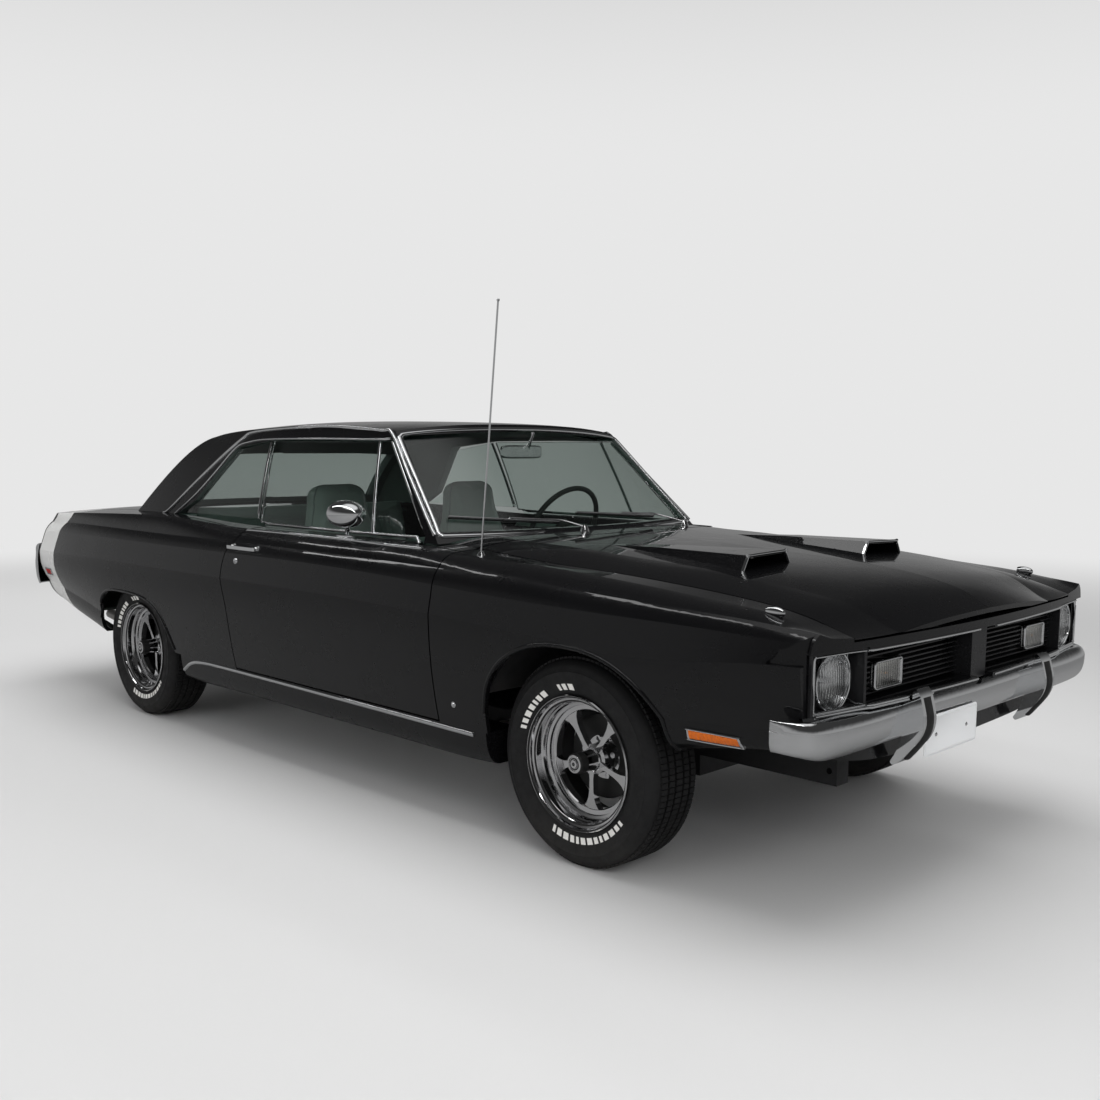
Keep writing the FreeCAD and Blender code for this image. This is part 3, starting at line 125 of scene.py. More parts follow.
studio = {"background": (0.80, 0.80, 0.80), "ambient": 0.50, "ceiling": 0.10, "floor": (0.66, 0.66, 0.66),
          "mirrored": 0.36, "zenith": 0.85, "fall": (0.22, 0.75), "mirroredFall": (0.05, 0.42),
          "zenithRise": (0.80, 0.93), "fade": (4.0, 11.0), "floorSize": 160, "floorRoughness": 0.55,
          "floorGloss": 0.25}
# each lamp: place, target, length, width, power, seen in reflections
lamps = {"overhead": ((0.3, 0.0, 5.2), (0.3, 0.0, 0.0), 7.0, 3.0, 150, False),
         "stripRight": ((0.2, -1.5, 3.3), (0.2, -0.3, 0.8), 7.5, 0.28, 26, True),
         "stripLeft": ((0.2, 1.5, 3.3), (0.2, 0.3, 0.8), 7.5, 0.28, 26, False),
         "front": ((6.5, -3.5, 3.4), (1.2, -0.3, 0.6), 3.2, 2.2, 110, False),
         "flank": ((0.2, -7.0, 2.6), (0.0, -0.6, 0.7), 6.0, 0.5, 70, False),
         "farFlank": ((-0.5, 7.0, 5.4), (0.0, 0.6, 0.7), 6.0, 0.4, 70, False),
         "back": ((-6.8, 1.0, 3.6), (-1.2, 0.0, 0.7), 3.6, 1.6, 90, False)}


def setWorld():
    world = bpy.data.worlds.new("studio")
    bpy.context.scene.world = world
    world.use_nodes = True
    tree = world.node_tree
    light = tree.nodes["Background"]
    light.inputs["Color"].default_value = (1, 1, 1, 1)
    light.inputs["Strength"].default_value = studio["ambient"]
    place = newNode(tree, "TexCoord").outputs["Generated"]
    height = newNode(tree, "SeparateXYZ", {"Vector": place}).outputs["Z"]
    glossy, looked = looking(tree)
    # the level falls towards the ceiling; paint and metal see a dimmer room that falls sooner,
    # with a bright zenith
    ceiling, dim = studio["ceiling"] / studio["background"][0], studio["mirrored"]
    level = smoothFade(tree, height, studio["fall"], (1.0, ceiling))
    mirrored = smoothFade(tree, height, studio["mirroredFall"], (dim, dim * ceiling))
    zenith = smoothFade(tree, height, studio["zenithRise"], (0.0, studio["zenith"]))
    gap = mathNode(tree, "SUBTRACT", mathNode(tree, "MAXIMUM", mirrored, zenith), level)
    strength = mathNode(tree, "ADD", level, mathNode(tree, "MULTIPLY", glossy, gap))
    seen = newNode(tree, "Background", {"Color": (*studio["background"], 1), "Strength": strength})
    mixShaders(tree, looked, light, seen, "World Output")


def setFloor():
    bpy.ops.mesh.primitive_plane_add(size=studio["floorSize"], location=(0, 0, 0))
    floor = bpy.context.object
    floor.name = "floor"
    material = bpy.data.materials.new("paleFloor")
    material.use_nodes = True
    tree = material.node_tree
    shader = tree.nodes["Principled BSDF"]
    glossy, looked = looking(tree)
    shade = mixColor(tree, glossy, studio["floor"], tuple(studio["mirrored"] * c for c in studio["floor"]))
    tree.links.new(shade, shader.inputs["Base Color"])
    shader.inputs["Roughness"].default_value = studio["floorRoughness"]
    shader.inputs["Specular IOR Level"].default_value = studio["floorGloss"]
    dimmer = mathNode(tree, "MULTIPLY", glossy, 1 - studio["mirrored"])
    far = newNode(tree, "Emission", {"Color": (*studio["background"], 1),
                                     "Strength": mathNode(tree, "SUBTRACT", 1.0, dimmer)})
    place = newNode(tree, "TexCoord").outputs["Object"]
    length = newNode(tree, "VectorMath", {0: place}, "LENGTH").outputs["Value"]
    share = mathNode(tree, "MULTIPLY", smoothFade(tree, length, studio["fade"]), looked)
    mixShaders(tree, share, shader, far)
    floor.data.materials.append(material)


def setLamps():
    for name, (place, target, long, short, power, reflected) in lamps.items():
        data = bpy.data.lights.new(name, "AREA")
        data.shape = "RECTANGLE"
        data.size, data.size_y, data.energy = long, short, power
        lamp = addObject(name, data)
        lamp.location = place
        lamp.visible_glossy = lamp.visible_transmission = reflected
        lamp.rotation_euler = (Vector(target) - Vector(place)).to_track_quat("-Z", "Y").to_euler()


setCamera()
setWorld()
setFloor()
setLamps()
print("studio set")


# Effects that several finishes share, as node groups

def newGroup(name, inlets, outlet):
    group = bpy.data.node_groups.new(name, "ShaderNodeTree")
    group.interface.new_socket("Vector", in_out="INPUT", socket_type="NodeSocketVector")
    for label, value in inlets.items():
        socket = group.interface.new_socket(label, in_out="INPUT", socket_type="NodeSocketFloat")
        socket.default_value = value
    group.interface.new_socket(outlet, in_out="OUTPUT", socket_type="NodeSocketFloat")
    return group, group.nodes.new("NodeGroupInput").outputs, group.nodes.new("NodeGroupOutput").inputs


def makeHandling():
    # faint wipe marks and dust that change how sharp a gloss is
    group, given, outlets = newGroup("handling", {"Low": 0.03, "High": 0.09, "Scale": 4.0}, "Roughness")
    wide = newNode(group, "TexNoise", {"Vector": given["Vector"], "Scale": given["Scale"],
                                       "Detail": 5, "Roughness": 0.65})
    reach = newNode(group, "MapRange", {"Value": wide.outputs["Fac"], "From Min": 0.35, "From Max": 0.72,
                                        "To Min": given["Low"], "To Max": given["High"]})
    group.links.new(reach.outputs["Result"], outlets[0])
    return group


def makeGrain():
    # pebbled or cast surface as a height
    group, given, outlets = newGroup("grain", {"Scale": 400.0, "Cells": 0.5}, "Height")
    spread = {"Vector": given["Vector"], "Scale": given["Scale"]}
    noise = newNode(group, "TexNoise", {**spread, "Detail": 3})
    cells = newNode(group, "TexVoronoi", spread)
    cells.feature = "SMOOTH_F1"
    mix = newNode(group, "Mix", {"Factor": given["Cells"], 2: noise.outputs["Fac"],
                                 3: cells.outputs["Distance"]})
    group.links.new(mix.outputs[0], outlets[0])
    return group


def makeDust():
    # road dust, thicker towards the ground
    group, given, outlets = newGroup("roadDust", {"Low": 0.05, "High": 0.6, "Amount": 0.4}, "Mask")
    height = newNode(group, "SeparateXYZ", {"Vector": given["Vector"]}).outputs["Z"]
    fall = newNode(group, "MapRange", {"Value": height, "From Max": given["Low"], "From Min": given["High"]})
    noise = newNode(group, "TexNoise", {"Vector": given["Vector"], "Scale": 9, "Detail": 8})
    mask = mathNode(group, "MULTIPLY", fall.outputs["Result"], noise.outputs["Fac"])
    group.links.new(mathNode(group, "MULTIPLY", mask, given["Amount"], clamp=True), outlets[0])
    return group


handling = makeHandling()
grain = makeGrain()
roadDust = makeDust()


def placeGroup(tree, group, vector, labels, values):
    node = newNode(tree, "Group")
    node.node_tree = group
    tree.links.new(vector, node.inputs["Vector"])
    for label, value in zip(labels, values):
        node.inputs[label].default_value = value
    return node.outputs[0]


# Finishes: colour, roughness, metallic, wear of the gloss (low, high, scale), grain (scale, cells, depth)
# and road dust (low, high, amount)

finishValues = {
    "chrome": ((0.86, 0.87, 0.88), 0.05, 1.0, (0.02, 0.075, 6.0)),
    "brightSteel": ((0.78, 0.78, 0.79), 0.14, 1.0, (0.10, 0.2, 20.0)),
    "grilleBlack": ((0.012, 0.012, 0.013), 0.3, 0.0, (0.24, 0.42, 8.0)),
    "rubber": ((0.014, 0.014, 0.014), 0.6, 0.0, (0.5, 0.75, 30.0), (900.0, 0.3, 0.0003)),
    "castIron": ((0.035, 0.035, 0.036), 0.55, 0.3, (0.42, 0.7, 12.0), (320.0, 0.4, 0.0008), (0.1, 0.5, 0.5)),
    "chassisBlack": ((0.013, 0.013, 0.014), 0.5, 0.0, (0.4, 0.65, 6.0), (260.0, 0.5, 0.0006),
                     (0.1, 0.55, 0.45)),
    "pipeSteel": ((0.32, 0.31, 0.30), 0.4, 0.9, (0.3, 0.55, 10.0), None, (0.1, 0.4, 0.5)),
    "enginePaint": ((0.05, 0.055, 0.06), 0.4, 0.0, (0.3, 0.5, 9.0), (240.0, 0.4, 0.0006)),
    "dashPlastic": ((0.018, 0.02, 0.019), 0.5, 0.0, (0.4, 0.6, 12.0), (700.0, 0.8, 0.0004)),
    "dashVinyl": ((0.045, 0.060, 0.055), 0.5, 0.0, (0.4, 0.62, 12.0), (650.0, 0.85, 0.0005)),
    "carpet": ((0.030, 0.036, 0.033), 0.95, 0.0, (0.85, 1.0, 20.0), (420.0, 0.5, 0.003)),
    "shadedSteel": ((0.05, 0.05, 0.05), 0.5, 0.6, (0.38, 0.62, 10.0), (300.0, 0.4, 0.0005)),
    "undersideBlack": ((0.011, 0.011, 0.012), 0.6, 0.0, (0.45, 0.7, 7.0), (280.0, 0.5, 0.0006)),
    "needleOrange": ((0.75, 0.16, 0.02), 0.4, 0.0, (0.3, 0.5, 30.0)),
    "plateWhite": ((0.78, 0.79, 0.80), 0.4, 0.0, (0.3, 0.5, 15.0)),
    "tyreRubber": ((0.009, 0.009, 0.0095), 0.7, 0.0, (0.55, 0.8, 25.0), (1100.0, 0.2, 0.0003),
                   (0.0, 0.2, 0.12)),
    "tyreWhite": ((0.72, 0.71, 0.68), 0.6, 0.0, (0.5, 0.7, 25.0)),
    "amberBulb": ((0.75, 0.30, 0.05), 0.15)}
dustColor = (0.23, 0.21, 0.18)
paint = {"color": (0.004, 0.004, 0.0045), "roughness": 0.3, "wear": (0.22, 0.34, 3.0), "Coat Weight": 0.85,
         "Coat Roughness": 0.012, "Coat IOR": 1.42, "Specular IOR Level": 0.08}
glasses = {"windowGlass": ((0.83, 0.90, 0.87), 0.0), "lampGlass": ((0.97, 0.98, 0.98), 0.0),
           "turnLens": ((0.93, 0.93, 0.90), 0.08), "redLens": ((0.62, 0.012, 0.012), 0.12)}
markerColors = {"markerAmber": (0.80, 0.17, 0.012), "markerRed": (0.48, 0.012, 0.010)}
vinyls = {"seatVinyl": (0.17, 0.215, 0.195), "trimVinyl": (0.10, 0.128, 0.118)}


def newFinish(name, color, roughness, metallic=0.0, wear=None, grainSize=None, dust=None, **constants):
    material = bpy.data.materials.new(name)
    material.use_nodes = True
    tree = material.node_tree
    inlets = tree.nodes["Principled BSDF"].inputs
    constants.update({"Base Color": (*color, 1), "Roughness": roughness, "Metallic": metallic})
    for label, value in constants.items():
        inlets[label].default_value = value
    place = newNode(tree, "TexCoord").outputs["Object"]
    if wear:
        tree.links.new(placeGroup(tree, handling, place, ("Low", "High", "Scale"), wear), inlets["Roughness"])
    if grainSize:
        height = placeGroup(tree, grain, place, ("Scale", "Cells"), grainSize)
        bump = newNode(tree, "Bump", {"Distance": grainSize[2], "Strength": 1.0, "Height": height})
        tree.links.new(bump.outputs["Normal"], inlets["Normal"])
    if dust:
        veil = placeGroup(tree, roadDust, place, ("Low", "High", "Amount"), dust)
        tree.links.new(mixColor(tree, veil, color, dustColor), inlets["Base Color"])
    return material, tree, inlets, place


def dullWhere(tree, inlets, share, level):
    # raises the roughness to a level where the share is one
    marks = inlets["Roughness"].links[0].from_socket
    level = mathNode(tree, "MULTIPLY", share, level)
    tree.links.new(mathNode(tree, "MAXIMUM", marks, level), inlets["Roughness"])


def makeGlass(name, color, roughness):
    material, tree, _, _ = newFinish(name, color, roughness, **{"Transmission Weight": 1.0, "IOR": 1.45})
    clear = newNode(tree, "BsdfTransparent", {"Color": (*color, 1)})
    shadow = newNode(tree, "LightPath").outputs["Is Shadow Ray"]
    mixShaders(tree, shadow, tree.nodes["Principled BSDF"], clear)
    return material


def makeVinyl(name, color):
    material, tree, inlets, place = newFinish(name, color, 0.4, wear=(0.3, 0.5, 18.0),
                                              grainSize=(850.0, 0.85, 0.0005))
    shade = newNode(tree, "TexNoise", {"Vector": place, "Scale": 7}).outputs["Fac"]
    darker = tuple(0.72 * c for c in color)
    tree.links.new(mixColor(tree, shade, darker, color), inlets["Base Color"])
    return material


# White stripe round the tail: its front and rear edge, x over height
stripe = {"front": [(0.413, -1.9625), (0.47, -2.022), (0.528, -2.0715), (0.604, -2.1005), (0.684, -2.0815),
                    (0.765, -2.0435), (0.845, -1.9875), (0.916, -1.8925)],
          "rear": [(0.413, -1.9625), (0.448, -2.1675), (0.51, -2.2785), (0.595, -2.3285), (0.668, -2.3185),
                   (0.751, -2.2785), (0.833, -2.2185), (0.906, -2.1115)],
          "zFrom": 0.4, "zSpan": 0.56, "xFrom": -2.5, "xSpan": 0.8, "sharpness": 900.0,
          "color": (0.80, 0.80, 0.79)}


def stripeEdge(tree, heightShare, points):
    curve = tree.nodes.new("ShaderNodeFloatCurve")
    line = curve.mapping.curves[0]
    places = [((z - stripe["zFrom"]) / stripe["zSpan"], (x - stripe["xFrom"]) / stripe["xSpan"]) for z,
              x in points]
    line.points[0].location = (0, places[0][1])
    line.points[1].location = (1, places[-1][1])
    for spot in places:
        line.points.new(*spot)
    curve.mapping.update()
    tree.links.new(heightShare, curve.inputs["Value"])
    return curve.outputs[0]


def makeStripedPaint():
    material, tree, inlets, place = newFinish("stripedPaint", **paint)
    split = newNode(tree, "SeparateXYZ", {"Vector": place}).outputs
    lifted = mathNode(tree, "SUBTRACT", split["Z"], stripe["zFrom"])
    heightShare = mathNode(tree, "DIVIDE", lifted, stripe["zSpan"], clamp=True)
    along = mathNode(tree, "DIVIDE", mathNode(tree, "SUBTRACT", split["X"], stripe["xFrom"]), stripe["xSpan"])
    frontGap = mathNode(tree, "SUBTRACT", stripeEdge(tree, heightShare, stripe["front"]), along)
    rearGap = mathNode(tree, "SUBTRACT", along, stripeEdge(tree, heightShare, stripe["rear"]))
    inside = mathNode(tree, "MINIMUM", frontGap, rearGap)
    mask = mathNode(tree, "MULTIPLY", inside, stripe["sharpness"], clamp=True)
    tree.links.new(mixColor(tree, mask, paint["color"], stripe["color"]), inlets["Base Color"])
    return material


cabin = {"middle": (-0.2, 0.0, 0.9), "headliner": (0.10, 0.125, 0.116), "dull": 0.6}


def makeRoofFinish():
    # body colour outside, and headliner vinyl on the faces that look into the cabin
    material, tree, inlets, place = newFinish("roofPaint", **paint)
    away = newNode(tree, "VectorMath", {0: place, 1: cabin["middle"]}, "SUBTRACT").outputs["Vector"]
    normal = newNode(tree, "NewGeometry").outputs["True Normal"]
    facing = newNode(tree, "VectorMath", {0: away, 1: normal}, "DOT_PRODUCT").outputs["Value"]
    inside = mathNode(tree, "LESS_THAN", facing, 0.0)
    tree.links.new(mixColor(tree, inside, paint["color"], cabin["headliner"]), inlets["Base Color"])
    outside = mathNode(tree, "SUBTRACT", 1.0, inside)
    tree.links.new(mathNode(tree, "MULTIPLY", outside, paint["Coat Weight"]), inlets["Coat Weight"])
    dullWhere(tree, inlets, inside, cabin["dull"])
    return material


rimLook = {"color": (0.82, 0.82, 0.83), "roughness": 0.08, "metallic": 1.0, "wear": (0.03, 0.12, 14.0)}
rimMarks = {"dark": (0.012, 0.012, 0.012), "deep": -0.001, "lugRadius": 0.060, "lugReach": 0.0125,
            "lugFrom": -0.026, "capFrom": 0.068, "ringRate": 480.0, "ringShare": 0.45, "dull": 0.5}


def makeRimFinish(wheel):
    # polished face and lip, black behind the spokes, bright lug nuts, dark rings on the end of the hub cap
    material, tree, inlets, place = newFinish("rim" + wheel.title().replace("_", ""), **rimLook)
    x, y = wheelSpots[wheel]
    centred = newNode(tree, "Mapping", {"Vector": place, "Location": (-x, -y, -hubHeight)}).outputs["Vector"]
    split = newNode(tree, "SeparateXYZ", {"Vector": centred}).outputs
    out = mathNode(tree, "MULTIPLY", split["Y"], 1.0 if y > 0 else -1.0)
    squares = [mathNode(tree, "POWER", mathNode(tree, "ABSOLUTE", split[axis]), 2) for axis in "XZ"]
    radius = mathNode(tree, "SQRT", mathNode(tree, "ADD", *squares))
    deep = mathNode(tree, "LESS_THAN", out, rimMarks["deep"])
    ringGap = mathNode(tree, "ABSOLUTE", mathNode(tree, "SUBTRACT", radius, rimMarks["lugRadius"]))
    lugs = mathNode(tree, "MULTIPLY", mathNode(tree, "LESS_THAN", ringGap, rimMarks["lugReach"]),
                    mathNode(tree, "GREATER_THAN", out, rimMarks["lugFrom"]))
    wave = mathNode(tree, "SINE", mathNode(tree, "MULTIPLY", radius, rimMarks["ringRate"]))
    rings = mathNode(tree, "MULTIPLY", mathNode(tree, "GREATER_THAN", out, rimMarks["capFrom"]),
                     mathNode(tree, "GREATER_THAN", wave, rimMarks["ringShare"]))
    dark = mathNode(tree, "MULTIPLY", mathNode(tree, "MAXIMUM", deep, rings),
                    mathNode(tree, "SUBTRACT", 1.0, lugs))
    tree.links.new(mixColor(tree, dark, rimLook["color"], rimMarks["dark"]), inlets["Base Color"])
    tree.links.new(mathNode(tree, "SUBTRACT", 1.0, dark), inlets["Metallic"])
    dullWhere(tree, inlets, dark, rimMarks["dull"])
    return material


finishes = {name: newFinish(name, *values)[0] for name, values in finishValues.items()}
finishes.update({name: makeGlass(name, *values) for name, values in glasses.items()})
finishes.update({name: makeVinyl(name, color) for name, color in vinyls.items()})
for markerName, markerColor in markerColors.items():
    finishes[markerName] = newFinish(markerName, markerColor, 0.18, wear=(0.12, 0.26, 20.0),
                                     **{"Transmission Weight": 0.25})[0]
finishes["blackPaint"] = newFinish("blackPaint", **paint)[0]
finishes["stripedPaint"] = makeStripedPaint()
finishes["roofPaint"] = makeRoofFinish()

dressed = {"roofPaint": "roof", "stripedPaint": "quarter_left quarter_right tail_panel trunk_lid rear_deck",
           "blackPaint": "fender_left fender_right cowl sills nose_panel hood door_left door_right "
                         "front_valance",
           "chrome": "front_bumper rear_bumper door_mirror antenna",
           "windowGlass": "windshield rear_window quarter_glass door_glass_left door_glass_right",
           "grilleBlack": "grille headlamp_bezels", "turnLens": "signal_lamps", "redLens": "tail_lamps",
           "enginePaint": "engine_block", "castIron": "rear_axle driveshaft knuckle_left knuckle_right",
           "chassisBlack": "wheel_houses radiator", "undersideBlack": "front_subframe", "carpet": "floor_pan",
           "pipeSteel": "exhaust", "shadedSteel": "fuel_tank", "dashVinyl": "dashboard rear_bulkhead",
           "dashPlastic": "steering_wheel", "seatVinyl": "front_seats rear_seat", "lampGlass": "headlamps"}


def dress(name, material):
    nodes[name].data.materials.clear()
    nodes[name].data.materials.append(material)


for finishName, nodeNames in dressed.items():
    for nodeName in nodeNames.split():
        dress(nodeName, finishes[finishName])
for wheelName in wheelSpots:
    dress("rim_" + wheelName, makeRimFinish(wheelName))
    dress("tyre_" + wheelName, finishes["tyreRubber"])
print("finishes made")


# Modelling helpers

backward, forward, down = (-1, 0, 0), (1, 0, 0), (0, 0, -1)
# a slot name for each finish, which settle looks up but gives to no piece
slots = {"chrome": "chrome", "brightSteel": "chrome", "rubber": "grille_black", "blackPaint": "paint",
         "lampGlass": "lamp_glass", "turnLens": "turn_lens", "markerAmber": "turn_lens",
         "amberBulb": "turn_lens", "markerRed": "tail_lens", "redLens": "tail_lens", "windowGlass": "glass",
         "tyreRubber": "tyre", "tyreWhite": "tyre", "seatVinyl": "vinyl", "trimVinyl": "vinyl",
         "dashVinyl": "dash_plastic", "dashPlastic": "dash_plastic", "needleOrange": "dash_plastic"}
evenNormals = (bpy.ops.mesh.normals_make_consistent, {"inside": False})


def surfaceOf(*pieces):
    # pieces are objects, or the names of nodes
    corners, faces = [], []
    for piece in pieces:
        mesh = (nodes[piece] if isinstance(piece, str) else piece).data
        start = len(corners)
        corners += [v.co.copy() for v in mesh.vertices]
        faces += [[start + i for i in p.vertices] for p in mesh.polygons]
    return BVHTree.FromPolygons(corners, faces)


def hit(surface, start, push):
    return surface.ray_cast(Vector(start), Vector(push))[0]


def smoothPath(points, perRun=10, closed=False):
    points = [Vector(p) for p in points]
    count = len(points)
    path = []
    runs = count if closed else count - 1
    for k in range(runs):
        a, b = points[k], points[(k + 1) % count]
        before = points[k - 1] if closed or k else a + (a - b)
        after = points[(k + 2) % count] if closed or k + 2 < count else b + (b - a)
        for step in range(perRun):
            t = step / perRun
            path.append(0.5 * (2 * a + (b - before) * t + (2 * before - 5 * a + 4 * b - after) * t * t
                               + (3 * a - 3 * b + after - before) * t ** 3))
    if not closed:
        path.append(points[-1])
    return path


def selectOnly(piece):
    bpy.ops.object.select_all(action="DESELECT")
    piece.select_set(True)
    bpy.context.view_layer.objects.active = piece


def editWhole(piece, *steps):
    # each step is a mesh operator and its options, done on the whole piece
    selectOnly(piece)
    bpy.ops.object.mode_set(mode="EDIT")
    for operator, options in steps:
        bpy.ops.mesh.select_all(action="SELECT")
        operator(**options)
    bpy.ops.object.mode_set(mode="OBJECT")


def pickFaces(piece, wanted):
    # leaves edit mode on, with the wanted faces selected
    if bpy.context.mode == "OBJECT":
        bpy.ops.object.mode_set(mode="EDIT")
    bpy.ops.mesh.select_all(action="DESELECT")
    editing = bmesh.from_edit_mesh(piece.data)
    for face in editing.faces:
        face.select_set(wanted(face))
    bmesh.update_edit_mesh(piece.data)


def applyWall(piece, thickness, offset=-1):
    selectOnly(piece)
    wall = piece.modifiers.new("wall", "SOLIDIFY")
    wall.thickness = thickness
    wall.offset = offset
    bpy.ops.object.modifier_apply(modifier="wall")


def applySubdivision(piece, levels):
    selectOnly(piece)
    soften = piece.modifiers.new("soft", "SUBSURF")
    soften.levels = soften.render_levels = levels
    bpy.ops.object.modifier_apply(modifier="soft")


def settle(piece, finish="chrome", body="root", angle=40, slotName=None):
    selectOnly(piece)
    bpy.ops.object.transform_apply(location=True, rotation=True, scale=True)
    bpy.ops.object.shade_smooth_by_angle(angle=math.radians(angle))
    piece.data.materials.clear()
    piece.data.materials.append(finishes[finish])
    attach(piece, body)
    slotName = slotName or slots.get(finish)
    bpy.ops.object.select_all(action="DESELECT")
    return piece


def settleLens(lens, thickness, finish, offset=-1):
    applyWall(lens, thickness, offset)
    editWhole(lens, evenNormals)
    return settle(lens, finish, angle=60)


def dataFrom(mesh, name):
    bmesh.ops.recalc_face_normals(mesh, faces=mesh.faces)
    data = bpy.data.meshes.new(name)
    mesh.to_mesh(data)
    mesh.free()
    return data


def addPrism(mesh, low, high):
    low, high = ([mesh.verts.new(spot) for spot in rim] for rim in (low, high))
    mesh.faces.new(high)
    mesh.faces.new(low[::-1])
    for i in range(len(low)):
        j = (i + 1) % len(low)
        mesh.faces.new((low[i], low[j], high[j], high[i]))


def sheetFrom(name, places, flipped):
    # a sheet through rows of places
    up, across = len(places) - 1, len(places[0]) - 1
    faces = []
    for j in range(up):
        for i in range(across):
            a = j * (across + 1) + i
            face = (a, a + 1, a + across + 2, a + across + 1)
            faces.append(face[::-1] if flipped else face)
    data = bpy.data.meshes.new(name)
    data.from_pydata([spot for row in places for spot in row], [], faces)
    return addObject(name, data)


mould = {"steps": 8, "sink": 0.002}


def moulding(name, bars, finish="chrome", body="root"):
    # half round bars: each has its (place, normal) pairs, a width, a height and whether it closes
    mesh = bmesh.new()
    for places, width, height, closed in bars:
        rings = []
        count = len(places)
        for k, (spot, normal) in enumerate(places):
            ahead = places[(k + 1) % count][0] if closed or k + 1 < count else spot
            behind = places[k - 1][0] if closed or k else spot
            along = (ahead - behind).normalized()
            up = (normal - along * normal.dot(along)).normalized()
            across = along.cross(up)
            ring = []
            for step in range(mould["steps"] + 1):
                turn = math.pi * step / mould["steps"]
                ring.append(spot + across * (math.cos(turn) * width / 2) + up * (math.sin(turn) * height))
            ring += [spot + across * (offset * width / 2) - up * mould["sink"] for offset in (-1, 1)]
            rings.append([mesh.verts.new(corner) for corner in ring])
        size = len(rings[0])
        for k in range(count if closed else count - 1):
            near, far = rings[k], rings[(k + 1) % count]
            for i in range(size):
                mesh.faces.new((near[i], far[i], far[(i + 1) % size], near[(i + 1) % size]))
        if not closed:
            mesh.faces.new(rings[0])
            mesh.faces.new(rings[-1][::-1])
    return settle(addObject(name, dataFrom(mesh, name)), finish, body, 50)


def laid(surface, points, lift=0.0, perRun=10, closed=False, flip=None):
    # only the given points are set on the surface, and the line between them is smooth
    spots, normals = [], []
    for point in points:
        spot, normal, _, _ = surface.find_nearest(Vector(point))
        if flip and normal.dot(Vector(flip)) < 0:
            normal = -normal
        spots.append(spot)
        normals.append(normal)
    path = smoothPath(spots, perRun, closed)
    turned = [normal.normalized() for normal in smoothPath(normals, perRun, closed)]
    return [(spot + normal * lift, normal) for spot, normal in zip(path, turned)]


def cast(surface, points, direction, lift=0.0, perRun=10, closed=False):
    places = []
    push = Vector(direction)
    for point in smoothPath(points, perRun, closed):
        spot, normal, _, _ = surface.ray_cast(point - push * 3, push)
        if spot is None:
            # a miss takes the depth of the point before it
            depth = (places[-1][0] - point).dot(push) if places else 0
            spot, normal, _, _ = surface.find_nearest(point + push * depth)
        if normal.dot(push) > 0:
            normal = -normal
        places.append((spot + normal * lift, normal))
    return places


def bar(surface, points, push, width, height, perRun=10, lift=0.0, closed=False):
    return cast(surface, points, push, lift, perRun, closed), width, height, closed


def startPiece(name):
    bpy.context.object.name = name
    return bpy.context.object


def box(name, centre, size):
    bpy.ops.mesh.primitive_cube_add(size=1, location=centre, scale=size)
    return startPiece(name)


def gridSheet(name, across, up, size=1):
    bpy.ops.mesh.primitive_grid_add(x_subdivisions=across, y_subdivisions=up, size=size)
    return startPiece(name)


def spun(name, profile, centre, axis, steps=64):
    # profile is (radius, distance along the axis) points; the axis is "x", "y" or "z"
    turn = Vector([float(letter == axis) for letter in "xyz"])
    outward = Vector((0, 0, 1)) if axis != "z" else Vector((1, 0, 0))
    data = bpy.data.meshes.new(name)
    corners = [Vector(centre) + outward * r + turn * d for r, d in profile]
    data.from_pydata(corners, [(k, k + 1) for k in range(len(corners) - 1)], [])
    piece = addObject(name, data)
    editWhole(piece, (bpy.ops.mesh.spin, {"steps": steps, "angle": math.tau, "center": centre, "axis": turn}),
              (bpy.ops.mesh.remove_doubles, {"threshold": 1e-5}), evenNormals)
    return piece


def turnPart(name, profile, centre, axis="x", steps=64, finish="chrome", body="root", angle=40, out=1):
    piece = spun(name, [(r, out * d) for r, d in profile], centre, axis, steps)
    return settle(piece, finish, body, angle)


# Bright trims on the body

trims = {
    "drip": {"points": [(-1.10, 0.716, 0.938), (-1.049, 0.705, 0.962), (-0.87, 0.668, 1.087),
                        (-0.693, 0.632, 1.207), (-0.568, 0.610, 1.281), (-0.488, 0.602, 1.306),
                        (-0.20, 0.599, 1.318), (0.069, 0.598, 1.319), (0.381, 0.601, 1.309),
                        (0.452, 0.600, 1.296), (0.60, 0.640, 1.150), (0.77, 0.685, 0.985),
                        (0.812, 0.697, 0.945)], "width": 0.013, "height": 0.008},
    "quarter": {"points": [(-0.985, 0.722, 0.944), (-0.84, 0.695, 1.035), (-0.72, 0.668, 1.135),
                           (-0.60, 0.640, 1.238), (-0.50, 0.630, 1.268), (-0.34, 0.622, 1.2755),
                           (0.0, 0.622, 1.2765), (0.35, 0.622, 1.2755), (0.452, 0.618, 1.274)],
                           "width": 0.008, "height": 0.006},
    "belt": {"points": [(-0.39, 0.80, 0.914), (-0.2, 0.80, 0.915), (0.3, 0.80, 0.914), (0.86, 0.79, 0.908)],
             "width": 0.012, "height": 0.006},
    "sill": {"points": [(-0.735, 0.83, 0.285), (-0.65, 0.835, 0.325), (-0.5445, 0.84, 0.340),
                        (-0.3345, 0.84, 0.343), (0.3255, 0.84, 0.341), (0.9855, 0.84, 0.338),
                        (1.1795, 0.84, 0.337)],
             "width": 0.016, "height": 0.006}}
